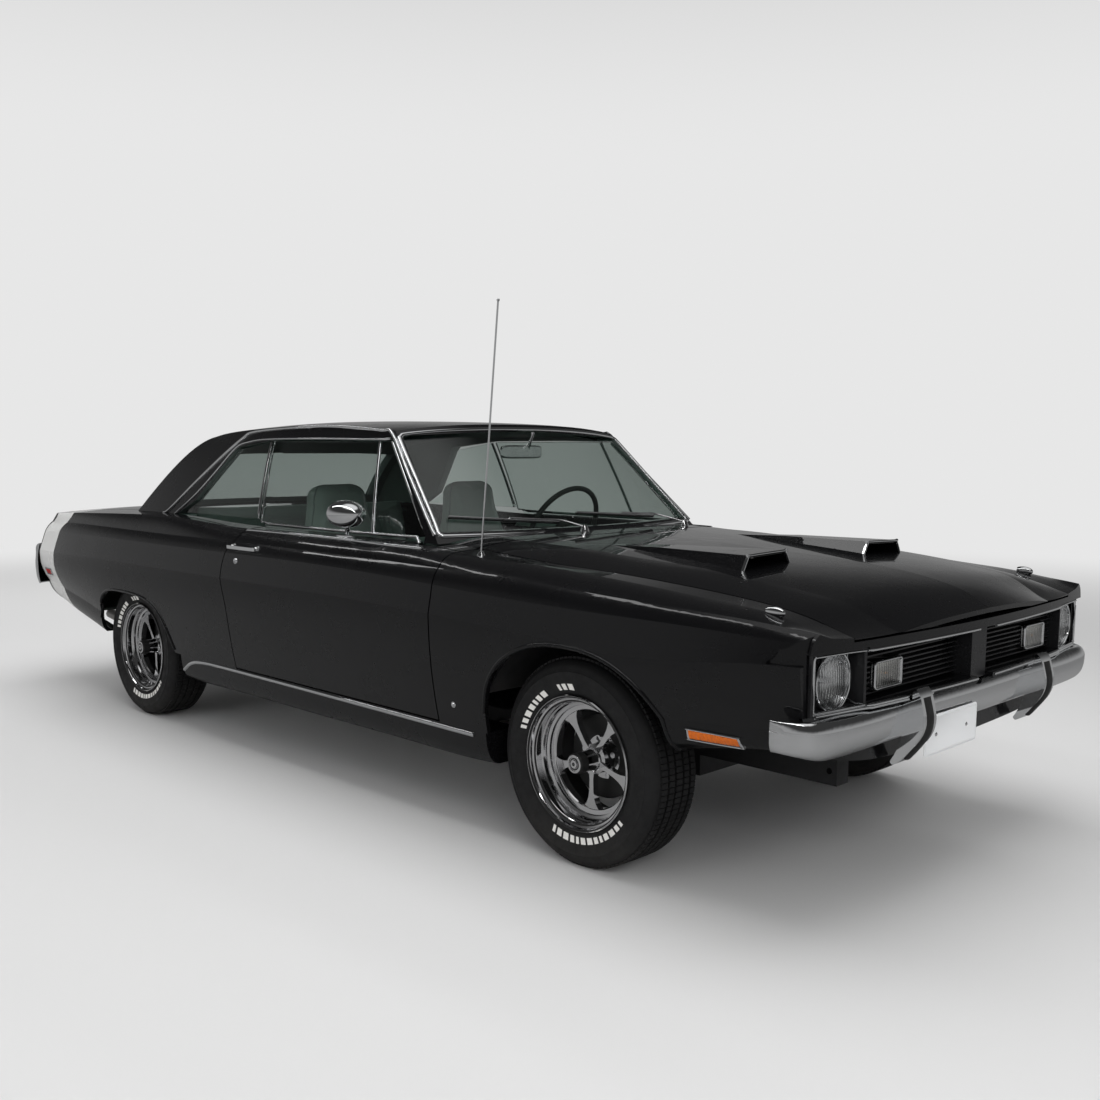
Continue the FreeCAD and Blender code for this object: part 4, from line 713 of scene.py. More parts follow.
surrounds = {
    "windshieldTrim": {"node": "windshield", "push": backward, "width": 0.017, "half": [
        (0, 1.3165), (0.2, 1.3145), (0.4, 1.306), (0.545, 1.2935), (0.578, 1.2845), (0.592, 1.262),
        (0.625, 1.13), (0.662, 0.985), (0.672, 0.952), (0.665, 0.9435), (0.64, 0.941), (0.4, 0.9405),
        (0, 0.9405)]},
    "rearWindowTrim": {"node": "rear_window", "push": forward, "width": 0.019, "half": [
        (0, 1.2195), (0.3, 1.2195), (0.49, 1.219), (0.522, 1.213), (0.536, 1.195), (0.57, 1.09),
        (0.602, 0.998), (0.600, 0.982), (0.58, 0.9795), (0.3, 0.979), (0, 0.979)]}}
# each bar on the side glass: x and height of its points, its width and its height
windowBars = {"division": ([(-0.340, 1.262), (-0.314, 1.10), (-0.290, 0.948)], 0.013, 0.006),
              "vent": ([(0.386, 1.264), (0.436, 1.10), (0.484, 0.936)], 0.014, 0.007),
              "ventFront": ([(0.452, 1.262), (0.60, 1.108), (0.752, 0.948)], 0.012, 0.006),
              "rearEdge": ([(-0.311, 1.264), (-0.286, 1.10), (-0.263, 0.945)], 0.007, 0.004)}
glassFoot = [(0.765, 0.934), (0.4, 0.934), (0.0, 0.936), (-0.262, 0.938)]

roofSurface = surfaceOf("roof", "cowl", "windshield", "rear_window", "quarter_glass", "fender_left",
                        "fender_right")
doorSurface = {name: surfaceOf("door_" + name) for name in sides}
sillSurface = surfaceOf("sills", "fender_left", "fender_right", "quarter_left", "quarter_right")


def onSide(points, side):
    return [(x, side * y, z) for x, y, z in points]


def makeBodyTrims():
    for name, side in sides.items():
        bars = [(laid(roofSurface, onSide(trims[key]["points"], side), 0.001, 8, flip=(0.2, side, 0.6)),
                 trims[key]["width"], trims[key]["height"], False) for key in ("drip", "quarter")]
        moulding("roofTrim_" + name, bars)
        for key, surface, body in (("belt", doorSurface[name], "door_" + name),
                                   ("sill", sillSurface, "root")):
            trim = trims[key]
            line = onSide(trim["points"], side)
            strip = bar(surface, line, (0, -side, 0), trim["width"], trim["height"], lift=0.0005)
            moulding(key + "Trim_" + name, [strip], body=body)


def makeWindowSurrounds():
    for name, trim in surrounds.items():
        half = trim["half"]
        ring = [(0, y, z) for y, z in half] + [(0, -y, z) for y, z in reversed(half[1:-1])]
        surface = surfaceOf("roof", trim["node"])
        moulding(name, [bar(surface, ring, trim["push"], trim["width"], 0.006, 6, closed=True)])


def makeWindowBars():
    for name, side in sides.items():
        push = (0, -side, 0)

        def upright(surface, key):
            points, width, height = windowBars[key]
            return bar(surface, [(x, side * 0.7, z) for x, z in points], push, width, height, 6)

        moulding("divisionBar_" + name, [upright(surfaceOf("quarter_glass"), "division")])
        doorGlass = surfaceOf("door_glass_" + name)
        bars = [upright(doorGlass, key) for key in ("vent", "ventFront", "rearEdge")]
        bars.append(bar(doorGlass, [(x, side * 0.8, z) for x, z in glassFoot], push, 0.012, 0.008, 8))
        moulding("ventFrame_" + name, bars, body="door_" + name)


makeBodyTrims()
makeWindowSurrounds()
makeWindowBars()
print("body trims laid")


# Nose: grille trims, lamps, markers, plate

def roundedRing(low, high, radius, corner=4):
    # closed outline of a rectangle with rounded corners, as 2-D points
    points = []
    for sign, start in (((1, 1), 0), ((-1, 1), 90), ((-1, -1), 180), ((1, -1), 270)):
        middle = [(high[i] if sign[i] > 0 else low[i]) - sign[i] * radius for i in range(2)]
        for step in range(corner + 1):
            turn = math.radians(start + 90 * step / corner)
            points.append((middle[0] + radius * math.cos(turn), middle[1] + radius * math.sin(turn)))
    return points


nose = {"grilleTop": 0.7375, "grilleLow": 0.5945, "stepLow": 0.5885, "trimWidth": 0.009, "stepWidth": 0.010,
        "bezelSide": (0.611, 0.795), "bezelHeight": (0.5965, 0.7375), "start": 2.45,
        "lampSide": 0.697, "lampHeight": 0.665, "lampFront": 2.376, "lampRadius": 0.0745, "lensRadius": 0.073,
        "turnLow": (0.387, 0.620), "turnHigh": (0.523, 0.692), "turnFront": 2.4035, "turnRibs": 12}
lampParts = {
    "bowl": [(0.0, -0.036), (0.018, -0.0355), (0.040, -0.028), (0.058, -0.0155), (0.070, 0.000),
             (0.0745, 0.009), (0.0745, 0.006), (0.060, -0.020), (0.040, -0.033), (0.0, -0.041)],
    "ring": [(0.0735, -0.010), (0.0735, 0.009), (0.0755, 0.0135), (0.0785, 0.0145), (0.0805, 0.012),
             (0.081, 0.006), (0.0785, -0.010), (0.0735, -0.010)],
    "bulb": [(0.0, 0.004), (0.006, 0.002), (0.009, -0.006), (0.009, -0.020), (0.012, -0.026), (0.012, -0.034),
             (0.0, -0.036)],
    "turnBulb": [(0, 0.022), (0.008, 0.019), (0.011, 0.010), (0.009, 0.0), (0.007, -0.014), (0, -0.015)]}
# each side marker: x and height from and to, panel and finish
markers = {"amberMarker": ((2.028, 0.4745), (2.184, 0.503), "fender_", "markerAmber"),
           "redMarker": ((-2.262, 0.583), (-2.168, 0.613), "quarter_", "markerRed")}
screwProfile = [(0.0, 0.003), (0.003, 0.0028), (0.0052, 0.0015), (0.0058, 0.0), (0.0035, -0.002),
                (0.0, -0.002)]
guardFront = [(2.6, 0.381, z) for z in (0.592, 0.566, 0.535, 0.50, 0.465, 0.435, 0.417)]
guardRear = [(-2.6, 0.208, z) for z in (0.70, 0.66, 0.612, 0.575, 0.55)]


def makeGrilleTrims():
    surface = surfaceOf("nose_panel", "grille", "headlamp_bezels")
    bars = []
    for side in (1, -1):
        for spots, z, width in (((0.052, 0.2, 0.4, 0.60), nose["grilleTop"], nose["trimWidth"]),
                                ((0.052, 0.2, 0.4, 0.60), nose["grilleLow"], nose["trimWidth"]),
                                ((0.30, 0.45, 0.60, 0.79), nose["stepLow"], nose["stepWidth"])):
            line = [(nose["start"], side * y, z) for y in spots]
            bars.append(bar(surface, line, backward, width, 0.005, 8))
    moulding("grilleTrim", bars)
    bars = []
    for side in (1, -1):
        near, far = sorted(side * y for y in nose["bezelSide"])
        low, high = nose["bezelHeight"]
        ring = [(nose["start"], y, z) for y, z in roundedRing((near, low), (far, high), 0.008, 2)]
        bars.append(bar(surfaceOf("headlamp_bezels"), ring, backward, 0.006, 0.004, 3, closed=True))
    moulding("headlampBezelTrim", bars)


def shapeLampLens(lens, front, side):
    for vertex in lens.data.vertices:
        u, v = vertex.co.x / nose["lampRadius"], vertex.co.y / nose["lampRadius"]
        # the square grid is rounded to a disc, so that its rows stay even
        y, z = u * math.sqrt(1 - v * v / 2), v * math.sqrt(1 - u * u / 2)
        radius = min(1.0, math.hypot(y, z))
        flutes = math.cos(y * (13 if abs(z) < 0.62 else 7) * math.pi)
        steps = 0.5 if -0.22 < z < -0.16 or 0.30 < z < 0.36 else 0.0
        edge = max(0.0, 1 - radius ** 8)
        x = front + 0.006 + 0.0105 * (1 - radius ** 2) + edge * (0.0007 * flutes + 0.0012 * steps)
        vertex.co = (x, side * nose["lampSide"] + y * nose["lensRadius"],
                     nose["lampHeight"] + z * nose["lensRadius"])


def makeHeadlamps():
    for name, side in sides.items():
        place = (nose["lampFront"], side * nose["lampSide"], nose["lampHeight"])
        turnPart("headlampBowl_" + name, lampParts["bowl"], place, finish="brightSteel", angle=50)
        turnPart("headlampRing_" + name, lampParts["ring"], place, angle=35)
        turnPart("headlampBulb_" + name, lampParts["bulb"], place, steps=24, finish="brightSteel", angle=50)
        lens = gridSheet("headlampLens_" + name, 72, 72, 2 * nose["lampRadius"])
        shapeLampLens(lens, place[0], side)
        settleLens(lens, 0.003, "lampGlass")
        if side > 0:
            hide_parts("headlamps")


def makeTurnLamps():
    ribs, front = nose["turnRibs"], nose["turnFront"]
    for name, side in sides.items():
        near, far = sorted((side * nose["turnLow"][0], side * nose["turnHigh"][0]))
        low, high = (near, nose["turnLow"][1]), (far, nose["turnHigh"][1])
        middle, size = [(a + b) / 2 for a, b in zip(low, high)], [b - a for a, b in zip(low, high)]
        lens = gridSheet("turnLens_" + name, ribs * 4, ribs * 4)
        for vertex in lens.data.vertices:
            u, v = vertex.co.x, vertex.co.y
            wave = math.cos((u + 0.5) * ribs * math.tau)
            crown = 0.004 * (1 - (2 * u) ** 4) * (1 - (2 * v) ** 4)
            vertex.co = (front - 0.004 + crown + 0.0007 * wave, middle[0] + u * size[0],
                         middle[1] + v * size[1])
        settleLens(lens, 0.003, "turnLens", 0)
        if side > 0:
            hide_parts("signal_lamps")
        ring = [(Vector((front - 0.004, y, z)), Vector(forward)) for y, z in roundedRing(low, high, 0.008)]
        moulding("turnFrame_" + name, [(ring, 0.009, 0.008, True)])
        tray = box("turnReflector_" + name, (front - 0.032, *middle),
                   (0.045, size[0] + 0.002, size[1] + 0.002))
        openBox(tray, forward, 0.004, 0.034)
        settle(tray, "brightSteel")
        turnPart("turnBulb_" + name, lampParts["turnBulb"], (front - 0.030, *middle), steps=20,
                 finish="amberBulb", angle=60)


def openBox(piece, facing, wall, depth):
    # insets the face that looks one way, and pushes it in: a tray
    pickFaces(piece, lambda face: face.normal.dot(Vector(facing)) > 0.9)
    bpy.ops.mesh.inset(thickness=wall)
    bpy.ops.mesh.extrude_region_move(TRANSFORM_OT_translate={"value": tuple(-depth * c for c in facing)})
    bpy.ops.mesh.select_all(action="SELECT")
    bpy.ops.mesh.bevel(offset=0.0008, segments=2)
    bpy.ops.object.mode_set(mode="OBJECT")


def makeMarkers():
    # side markers: a bright frame round a ribbed lens, amber ahead and red behind
    for kind, (low, high, panel, lensFinish) in markers.items():
        for name, side in sides.items():
            surface = surfaceOf(panel + name)
            inward = (0, -side, 0)
            ring = [(x, side * 0.9, z) for x, z in roundedRing(low, high, 0.006, 3)]
            moulding(kind + "Frame_" + name, [bar(surface, ring, inward, 0.007, 0.006, 2, 0.001, True)])
            lens = gridSheet(kind + "Lens_" + name, 60, 10)
            for vertex in lens.data.vertices:
                x, z = (low[i] + (vertex.co[i] + 0.5) * (high[i] - low[i]) for i in (0, 1))
                rib = 0.0007 * math.cos(vertex.co.x * 26 * math.pi)
                crown = 0.003 * (1 - (2 * vertex.co.y) ** 4)
                spot = hit(surface, (x, side * 2, z), inward)
                vertex.co = spot + Vector((0, side, 0)) * (0.0015 + crown + rib)
            settleLens(lens, 0.0015, lensFinish)


def makePlate(name, x, y, z, facing):
    # blank number plate with a pressed rim and two screws
    plate = box(name, (x, y, z), (0.0018, 0.305, 0.112))
    bpy.ops.object.mode_set(mode="EDIT")
    bpy.ops.mesh.select_all(action="DESELECT")
    editing = bmesh.from_edit_mesh(plate.data)
    for edge in editing.edges:
        run = edge.verts[0].co - edge.verts[1].co
        edge.select_set(abs(run.x) > 1e-5 or run.length < 0.01)
    bmesh.update_edit_mesh(plate.data)
    bpy.ops.mesh.bevel(offset=0.012, segments=5)
    pickFaces(plate, lambda face: face.normal.x * facing > 0.9)
    for thickness, depth in ((0.004, 0), (0.0015, 0.0012), (0.002, 0), (0.0015, -0.0012)):
        bpy.ops.mesh.inset(thickness=thickness, depth=depth)
    bpy.ops.object.mode_set(mode="OBJECT")
    settle(plate, "plateWhite")
    for sideName, side in (("ScrewLeft", 1), ("ScrewRight", -1)):
        front = x + facing * 0.0012
        screw = spun(name + sideName, screwProfile, (front, y + side * 0.089, z), "x", 20)
        if facing < 0:
            screw.data.transform(Matrix.Translation((2 * front, 0, 0)) @ Matrix.Scale(-1, 4, (1, 0, 0)))
            screw.data.flip_normals()
        settle(screw, "brightSteel")


def makeRubberStrips():
    ends = (("Front", guardFront, backward, 0.034), ("Rear", guardRear, forward, 0.030))
    for name, side in sides.items():
        for end, line, push, width in ends:
            strip = bar(surfaceOf(end.lower() + "_bumper"), onSide(line, side), push, width, 0.006, 6)
            moulding("guardRubber" + end + "_" + name, [strip], "rubber")


makeGrilleTrims()
makeHeadlamps()
makeTurnLamps()
makeMarkers()
makePlate("frontPlate", 2.456, -0.19, 0.470, 1)
makeRubberStrips()
print("nose dressed")


# Handles, locks, mirrors, wipers and other small fittings

# turned profiles: (radius, distance outwards)
fittings = {
    "foot": [(0.0, 0.013), (0.006, 0.0125), (0.0085, 0.010), (0.0095, 0.004), (0.0125, 0.0015),
             (0.013, -0.003), (0, -0.003)],
    "lock": [(0.0, 0.0035), (0.0065, 0.0035), (0.007, 0.005), (0.0105, 0.0045), (0.0125, 0.0015),
             (0.0125, -0.003), (0, -0.003)],
    "button": [(0.0, 0.006), (0.004, 0.0055), (0.0055, 0.003), (0.0095, 0.0025), (0.0105, 0.0),
               (0.0, -0.002)],
    "mirror": [(0.0, -0.0006), (0.041, -0.0006), (0.0415, -0.0022), (0.0438, -0.0024), (0.045, -0.0008),
               (0.045, 0.0015), (0.0, 0.0015)],
    "spindle": [(0.0, 0.022), (0.008, 0.021), (0.012, 0.014), (0.016, 0.004), (0.018, -0.004), (0.0, -0.004)]}


def makeHandles():
    # a pull handle standing off two feet, and the lock below
    for name, side in sides.items():
        body = "door_" + name

        def onDoor(x, z):
            return hit(doorSurface[name], (x, side * 2, z), (0, -side, 0))

        middle = onDoor(-0.155, 0.851)
        grip = box("doorHandle_" + name, (middle.x, middle.y + side * 0.022, middle.z), (0.206, 0.008, 0.014))
        editWhole(grip, (bpy.ops.mesh.subdivide, {"number_cuts": 11}))
        for vertex in grip.data.vertices:
            share = abs(vertex.co.x) * 2
            vertex.co.y -= side * 1.5 * share ** 4
            vertex.co.z *= 1 - 0.45 * share ** 3
        applySubdivision(grip, 1)
        settle(grip, body=body, angle=60)
        for place, x in (("Front", -0.068), ("Rear", -0.242)):
            turnPart("handleFoot" + place + "_" + name, fittings["foot"], onDoor(x, 0.851), "y", 28,
                     body=body, out=side)
        turnPart("doorLock_" + name, fittings["lock"], onDoor(-0.203, 0.797), "y", 32, body=body, out=side)


def makeSmallDots():
    for name, side in sides.items():
        surface = surfaceOf("fender_" + name)
        spot = hit(surface, (1.1005, side * 2, 0.426), (0, -side, 0))
        turnPart("fenderButton_" + name, fittings["button"], spot, "y", 24, out=side)
        top = hit(surface, (2.235, side * 0.742, 1.4), down)
        bpy.ops.mesh.primitive_uv_sphere_add(segments=32, ring_count=16, radius=1,
                                             scale=(0.034, 0.0115, 0.016),
                                             location=(top.x, top.y, top.z + 0.006))
        pod = startPiece("turnRepeater_" + name)
        cut = {"plane_co": (top.x - 0.020, 0, 0), "plane_no": backward, "use_fill": True, "clear_outer": True}
        editWhole(pod, (bpy.ops.mesh.bisect, cut), evenNormals)
        settle(pod, angle=50)


def makeInsideMirror():
    place = Vector((0.545, -0.035, 1.225))
    case = box("insideMirror", place, (0.018, 0.215, 0.052))
    editWhole(case, (bpy.ops.mesh.bevel, {"offset": 0.10, "offset_type": "PERCENT", "segments": 1}),
              (bpy.ops.mesh.subdivide, {"number_cuts": 2}))
    applySubdivision(case, 2)
    settle(case, "brightSteel", angle=60)
    bpy.ops.mesh.primitive_cylinder_add(vertices=16, radius=0.006, depth=0.075,
                                        rotation=(0, math.radians(25), 0),
                                        location=place + Vector((0.018, 0.035, 0.045)))
    stem = startPiece("insideMirrorStem")
    soften = stem.modifiers.new("soft", "BEVEL")
    soften.width = 0.002
    soften.segments = 2
    bpy.ops.object.modifier_apply(modifier="soft")
    settle(stem, "brightSteel")


def makeDoorMirrorGlass():
    # an oval glass with a raised rim, flat against the back of the head
    middle = Vector((0.4055, -0.80, 1.007))
    glass = spun("doorMirrorGlass", fittings["mirror"], middle, "x", 48)
    for vertex in glass.data.vertices:
        vertex.co.y = middle.y + (vertex.co.y - middle.y) * 1.24
    settle(glass, "brightSteel", "door_right")


def tubeAlong(name, points, radius, finish="chrome", body="root", perRun=8):
    # round tube through the points, as a curve made into a mesh
    bpy.ops.curve.primitive_nurbs_path_add()
    curve = startPiece(name)
    curve.location = (0, 0, 0)
    curve.data.splines.clear()
    spline = curve.data.splines.new("POLY")
    path = smoothPath(points, perRun)
    spline.points.add(len(path) - 1)
    for point, spot in zip(spline.points, path):
        point.co = (*spot, 1)
    curve.data.bevel_depth = radius
    curve.data.bevel_resolution = 4
    curve.data.use_fill_caps = True
    selectOnly(curve)
    bpy.ops.object.convert(target="MESH")
    piece = bpy.context.object
    editWhole(piece, (bpy.ops.mesh.remove_doubles, {"threshold": 1e-6}), evenNormals)
    return settle(piece, finish, body, 50)


wipers = {"left": ((0.975, 0.46), -0.06), "right": ((0.975, -0.12), -0.60),
          "shares": (0.12, 0.3, 0.55, 0.8, 1.0), "foot": 0.962, "rise": 0.034}


def makeWipers():
    # each arm leaves a spindle in the cowl and lies along the foot of the glass
    glass = surfaceOf("windshield", "roof")
    cowlTop = surfaceOf("cowl", "hood")
    for name in sides:
        pivot, tip = wipers[name]
        base = hit(cowlTop, (*pivot, 2), down)
        turnPart("wiperSpindle_" + name, fittings["spindle"], base, "z", 24, "brightSteel")
        line = []
        for share in wipers["shares"]:
            start = (3, pivot[1] + (tip - pivot[1]) * share, wipers["foot"] + wipers["rise"] * share)
            line.append(glass.ray_cast(Vector(start), Vector(backward))[:2])
        arm = [base + Vector((0, 0, 0.016))] + [spot + normal * 0.020 for spot, normal in line[:3]]
        tubeAlong("wiperArm_" + name, arm, 0.0035, "brightSteel")
        blade = [(spot + normal * 0.005, normal) for spot, normal in line]
        moulding("wiperBlade_" + name, [(blade, 0.007, 0.007, False)], "rubber")
        rail = [(spot + normal * 0.012, normal) for spot, normal in line]
        moulding("wiperRail_" + name, [(rail, 0.0065, 0.004, False)], "brightSteel")


scoopRim = {"x": 1.924, "ring": [(0.207, 0.882), (0.238, 0.9345), (0.245, 0.9375), (0.42, 0.933),
                                 (0.429, 0.930), (0.462, 0.873)]}


def makeScoopRims():
    for name, side in sides.items():
        path = smoothPath([(scoopRim["x"], side * y, z) for y, z in scoopRim["ring"]], 4)
        bars = [([(spot, Vector(forward)) for spot in path], 0.009, 0.006, False)]
        moulding("scoopRim_" + name, bars, body="hood")


arches = {"fender_": [(-0.347, 0.42), (-0.318, 0.512), (-0.262, 0.585), (-0.18, 0.637), (-0.085, 0.666),
                      (0.01, 0.673), (0.11, 0.667), (0.205, 0.64), (0.285, 0.59), (0.338, 0.52),
                      (0.362, 0.43), (0.366, 0.36)],
          "quarter_": [(-0.332, 0.41), (-0.3, 0.49), (-0.24, 0.545), (-0.15, 0.573), (-0.02, 0.58),
                       (0.12, 0.578), (0.24, 0.564), (0.325, 0.528), (0.385, 0.455), (0.425, 0.365)]}
axles = {"fender_": wheelSpots["front_left"][0], "quarter_": wheelSpots["rear_left"][0]}


def makeArchLips():
    # rolled edge round each wheel arch
    for panel, points in arches.items():
        for name, side in sides.items():
            line = []
            for x, z in points:
                away = Vector((x, 0, z - hubHeight)).normalized() * 0.007
                line.append((axles[panel] + x + away.x, side * 0.9, z + away.z))
            lip = bar(surfaceOf(panel + name), line, (0, -side, 0), 0.013, 0.0075, 8, -0.0015)
            moulding("archLip_" + panel + name, [lip], "blackPaint")


makeHandles()
makeSmallDots()
makeInsideMirror()
makeDoorMirrorGlass()
makeWipers()
makeScoopRims()
makeArchLips()
print("fittings made")


# Tyres with real tread and raised white marks

tyre = {"steps": 108, "grooveFloor": 0.3105, "blockHeight": 0.0068, "blockGap": 0.0014,
        "side": [(0.190, -0.0800), (0.196, -0.0838), (0.206, -0.0885), (0.2165, -0.0943), (0.2435, -0.1010),
                 (0.258, -0.1020), (0.272, -0.1016), (0.2745, -0.1028), (0.277, -0.1008), (0.288, -0.0990),
                 (0.298, -0.0935), (0.306, -0.0850), (0.3105, -0.0760)],
        "ribs": [(-0.0740, -0.0500), (-0.0440, -0.0200), (-0.0145, 0.0145), (0.0200, 0.0440),
                 (0.0500, 0.0740)],
        "markRadius": (0.2205, 0.2395), "markGroups": [(91, 3), (121, 7), (247, 13)],
        "markWidths": (4.4, 2.6, 3.8, 5.0), "markGap": 2.2, "markLean": 1.2, "treadFrom": 0.308}


def modelTyre():
    # the section is spun, and the faces of its ribs are raised as blocks
    side = tyre["side"]
    crown = [(tyre["grooveFloor"] + 0.0012 * (1 - (y / 0.075) ** 2),
              y) for pair in tyre["ribs"] for y in pair]
    section = side + crown + [(r, -y) for r, y in reversed(side)]
    piece = spun("tyreModel", section, (0, 0, 0), "y", tyre["steps"])

    def onRib(face):
        middle = face.calc_center_median()
        return (math.hypot(middle.x, middle.z) > tyre["treadFrom"]
                and any(low < middle.y < high for low, high in tyre["ribs"]))

    pickFaces(piece, onRib)
    bpy.ops.mesh.inset(thickness=tyre["blockGap"], use_individual=True)
    bpy.ops.mesh.extrude_region_shrink_fatten(TRANSFORM_OT_shrink_fatten={"value": tyre["blockHeight"]})
    bpy.ops.object.mode_set(mode="OBJECT")
    return piece


def modelMarks():
    # raised white blocks of different widths on the outer wall, in three groups
    mesh = bmesh.new()
    inner, outer = tyre["markRadius"]
    corners = [(share, inner) for share in (0, 0.33, 0.66, 1)] + [(share, outer) for share in (1, 0.66, 0.33,
                                                                                               0)]
    for angle, count in tyre["markGroups"]:
        for k in range(count):
            width = tyre["markWidths"][(k * 3 + count) % 4]
            rim = []
            for share, radius in corners:
                turn = math.radians(angle + width * share + (tyre["markLean"] if radius == outer else 0))
                wall = 0.0954 + (radius - inner) / (outer - inner) * 0.0048
                rim.append((radius * math.cos(turn), wall, radius * math.sin(turn)))
            addPrism(mesh, [(x, y - 0.002, z) for x, y, z in rim], [(x, y + 0.0012, z) for x, y, z in rim])
            angle += width + tyre["markGap"]
    return dataFrom(mesh, "tyreMarks")


def makeTyres():
    model = modelTyre()
    marks = modelMarks()
    for name, (x, y) in wheelSpots.items():
        shift = Matrix.Translation((x, y, hubHeight))
        tread = addObject("treadTyre_" + name, model.data.copy())
        tread.data.transform(shift)
        settle(tread, "tyreRubber", "wheel_" + name, 30)
        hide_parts("tyre_" + name)
        blocks = addObject("tyreMarks_" + name, marks.copy())
        blocks.data.transform(shift @ Matrix.Scale(1 if y > 0 else -1, 4, (0, 1, 0)))
        if y < 0:
            blocks.data.flip_normals()
        settle(blocks, "tyreWhite", "wheel_" + name, 20)
    bpy.data.objects.remove(model)


makeTyres()
print("tyres made")


# Glass panes, gridded so that their reflections run evenly

panes = {"windshield": {"low": 0.9505, "top": 1.3115, "fall": 0.078, "lowHalf": 0.667, "topHalf": 0.583,
                        "facing": 1},
         "rear_window": {"low": 0.986, "top": 1.2145, "fall": 0.0, "lowHalf": 0.599, "topHalf": 0.530,
                         "facing": -1},
         "across": 56, "up": 24, "thickness": 0.005, "smoothings": 8, "spacing": 0.045}
sideOutlines = {"door_glass": [(0.761, 0.892), (0.761, 0.938), (0.459, 1.266), (-0.321, 1.266),
                               (-0.270, 0.946), (-0.230, 0.946), (-0.226, 0.892)],
                "quarter_glass": [(-0.333, 1.263), (-0.592, 1.228), (-0.816, 1.004), (-0.930, 0.9535),
                                  (-0.282, 0.9535)]}


def makePane(name):
    pane, surface = panes[name], surfaceOf(name)
    facing, across, up = pane["facing"], panes["across"], panes["up"]
    places = []
    for j in range(up + 1):
        v = j / up
        half = pane["lowHalf"] + (pane["topHalf"] - pane["lowHalf"]) * v
        # from the middle outwards, so that a ray past the edge takes the depth of its neighbour
        row = []
        for i in range(across // 2 + 1):
            y = 2 * i / across * half
            z = pane["low"] + v * (pane["top"] - pane["fall"] * y * y - pane["low"])
            spot = hit(surface, (3 * facing, y, z), (-facing, 0, 0))
            spot = spot or surface.find_nearest(Vector((row[-1].x, y, z)))[0]
            row.append(Vector((spot.x, y, z)))
        places.append([Vector((spot.x, -spot.y, spot.z)) for spot in reversed(row[1:])] + row)
    for _ in range(panes["smoothings"]):
        before = [[spot.x for spot in row] for row in places]
        for j in range(1, up):
            for i in range(1, across):
                around = before[j - 1][i] + before[j + 1][i] + before[j][i - 1] + before[j][i + 1]
                places[j][i].x = around / 4
    piece = sheetFrom(name + "Pane", places, facing < 0)
    applyWall(piece, panes["thickness"])
    settle(piece, "windowGlass")
    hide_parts(name)


def makeSidePane(kind, name, side):
    # a flat plate with the pane's outline is cut into a grid, set on the solid's outer face,
    # and given its thickness
    outline = sideOutlines[kind]
    node, body = (kind + "_" + name, "door_" + name) if kind == "door_glass" else (kind, "root")
    surface = surfaceOf(node)
    data = bpy.data.meshes.new(kind + "Pane_" + name)
    data.from_pydata([(x, side, z) for x, z in outline], [], [tuple(range(len(outline)))])
    piece = addObject(data.name, data)
    cuts = []
    for axis, normal in ((0, (1, 0, 0)), (1, (0, 0, 1))):
        values = [point[axis] for point in outline]
        low, span = min(values), max(values) - min(values)
        count = int(span / panes["spacing"])
        for k in range(1, count + 1):
            place = Vector(normal) * (low + span * k / (count + 1))
            cuts.append((bpy.ops.mesh.bisect, {"plane_co": place, "plane_no": normal}))
    editWhole(piece, *cuts)
    for vertex in piece.data.vertices:
        x, z = vertex.co.x, vertex.co.z
        spot = hit(surface, (x, 2 * side, z), (0, -side, 0))
        spot = spot or surface.find_nearest(Vector((x, 0.7 * side, z)))[0]
        vertex.co.y = spot.y
    if sum(polygon.normal.y for polygon in piece.data.polygons) * side < 0:
        piece.data.flip_normals()
    applyWall(piece, panes["thickness"])
    settle(piece, "windowGlass", body)
    if kind == "door_glass" or side > 0:
        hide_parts(node)


for paneName in ("windshield", "rear_window"):
    makePane(paneName)
for sideName, sideSign in sides.items():
    for paneKind in sideOutlines:
        makeSidePane(paneKind, sideName, sideSign)
print("panes made")


# Seats: each pad is inflated as cloth, then sewn

seats = {"shrink": 0.008, "voxel": 0.0085, "quickVoxel": 0.012, "pressure": 4.0, "frames": 20, "cap": 0.015,
         "corners": 72, "runs": 14, "endSteps": (0.0, 0.06, 0.2, 0.42, 0.7), "leastDepth": 0.012,
         "pleatGap": 0.037, "pleatDepth": 0.0042, "pleatWidth": 0.0052, "pipe": 0.0075, "softness": 0.9,
         "frontY": 0.366, "rearY": 0.335}
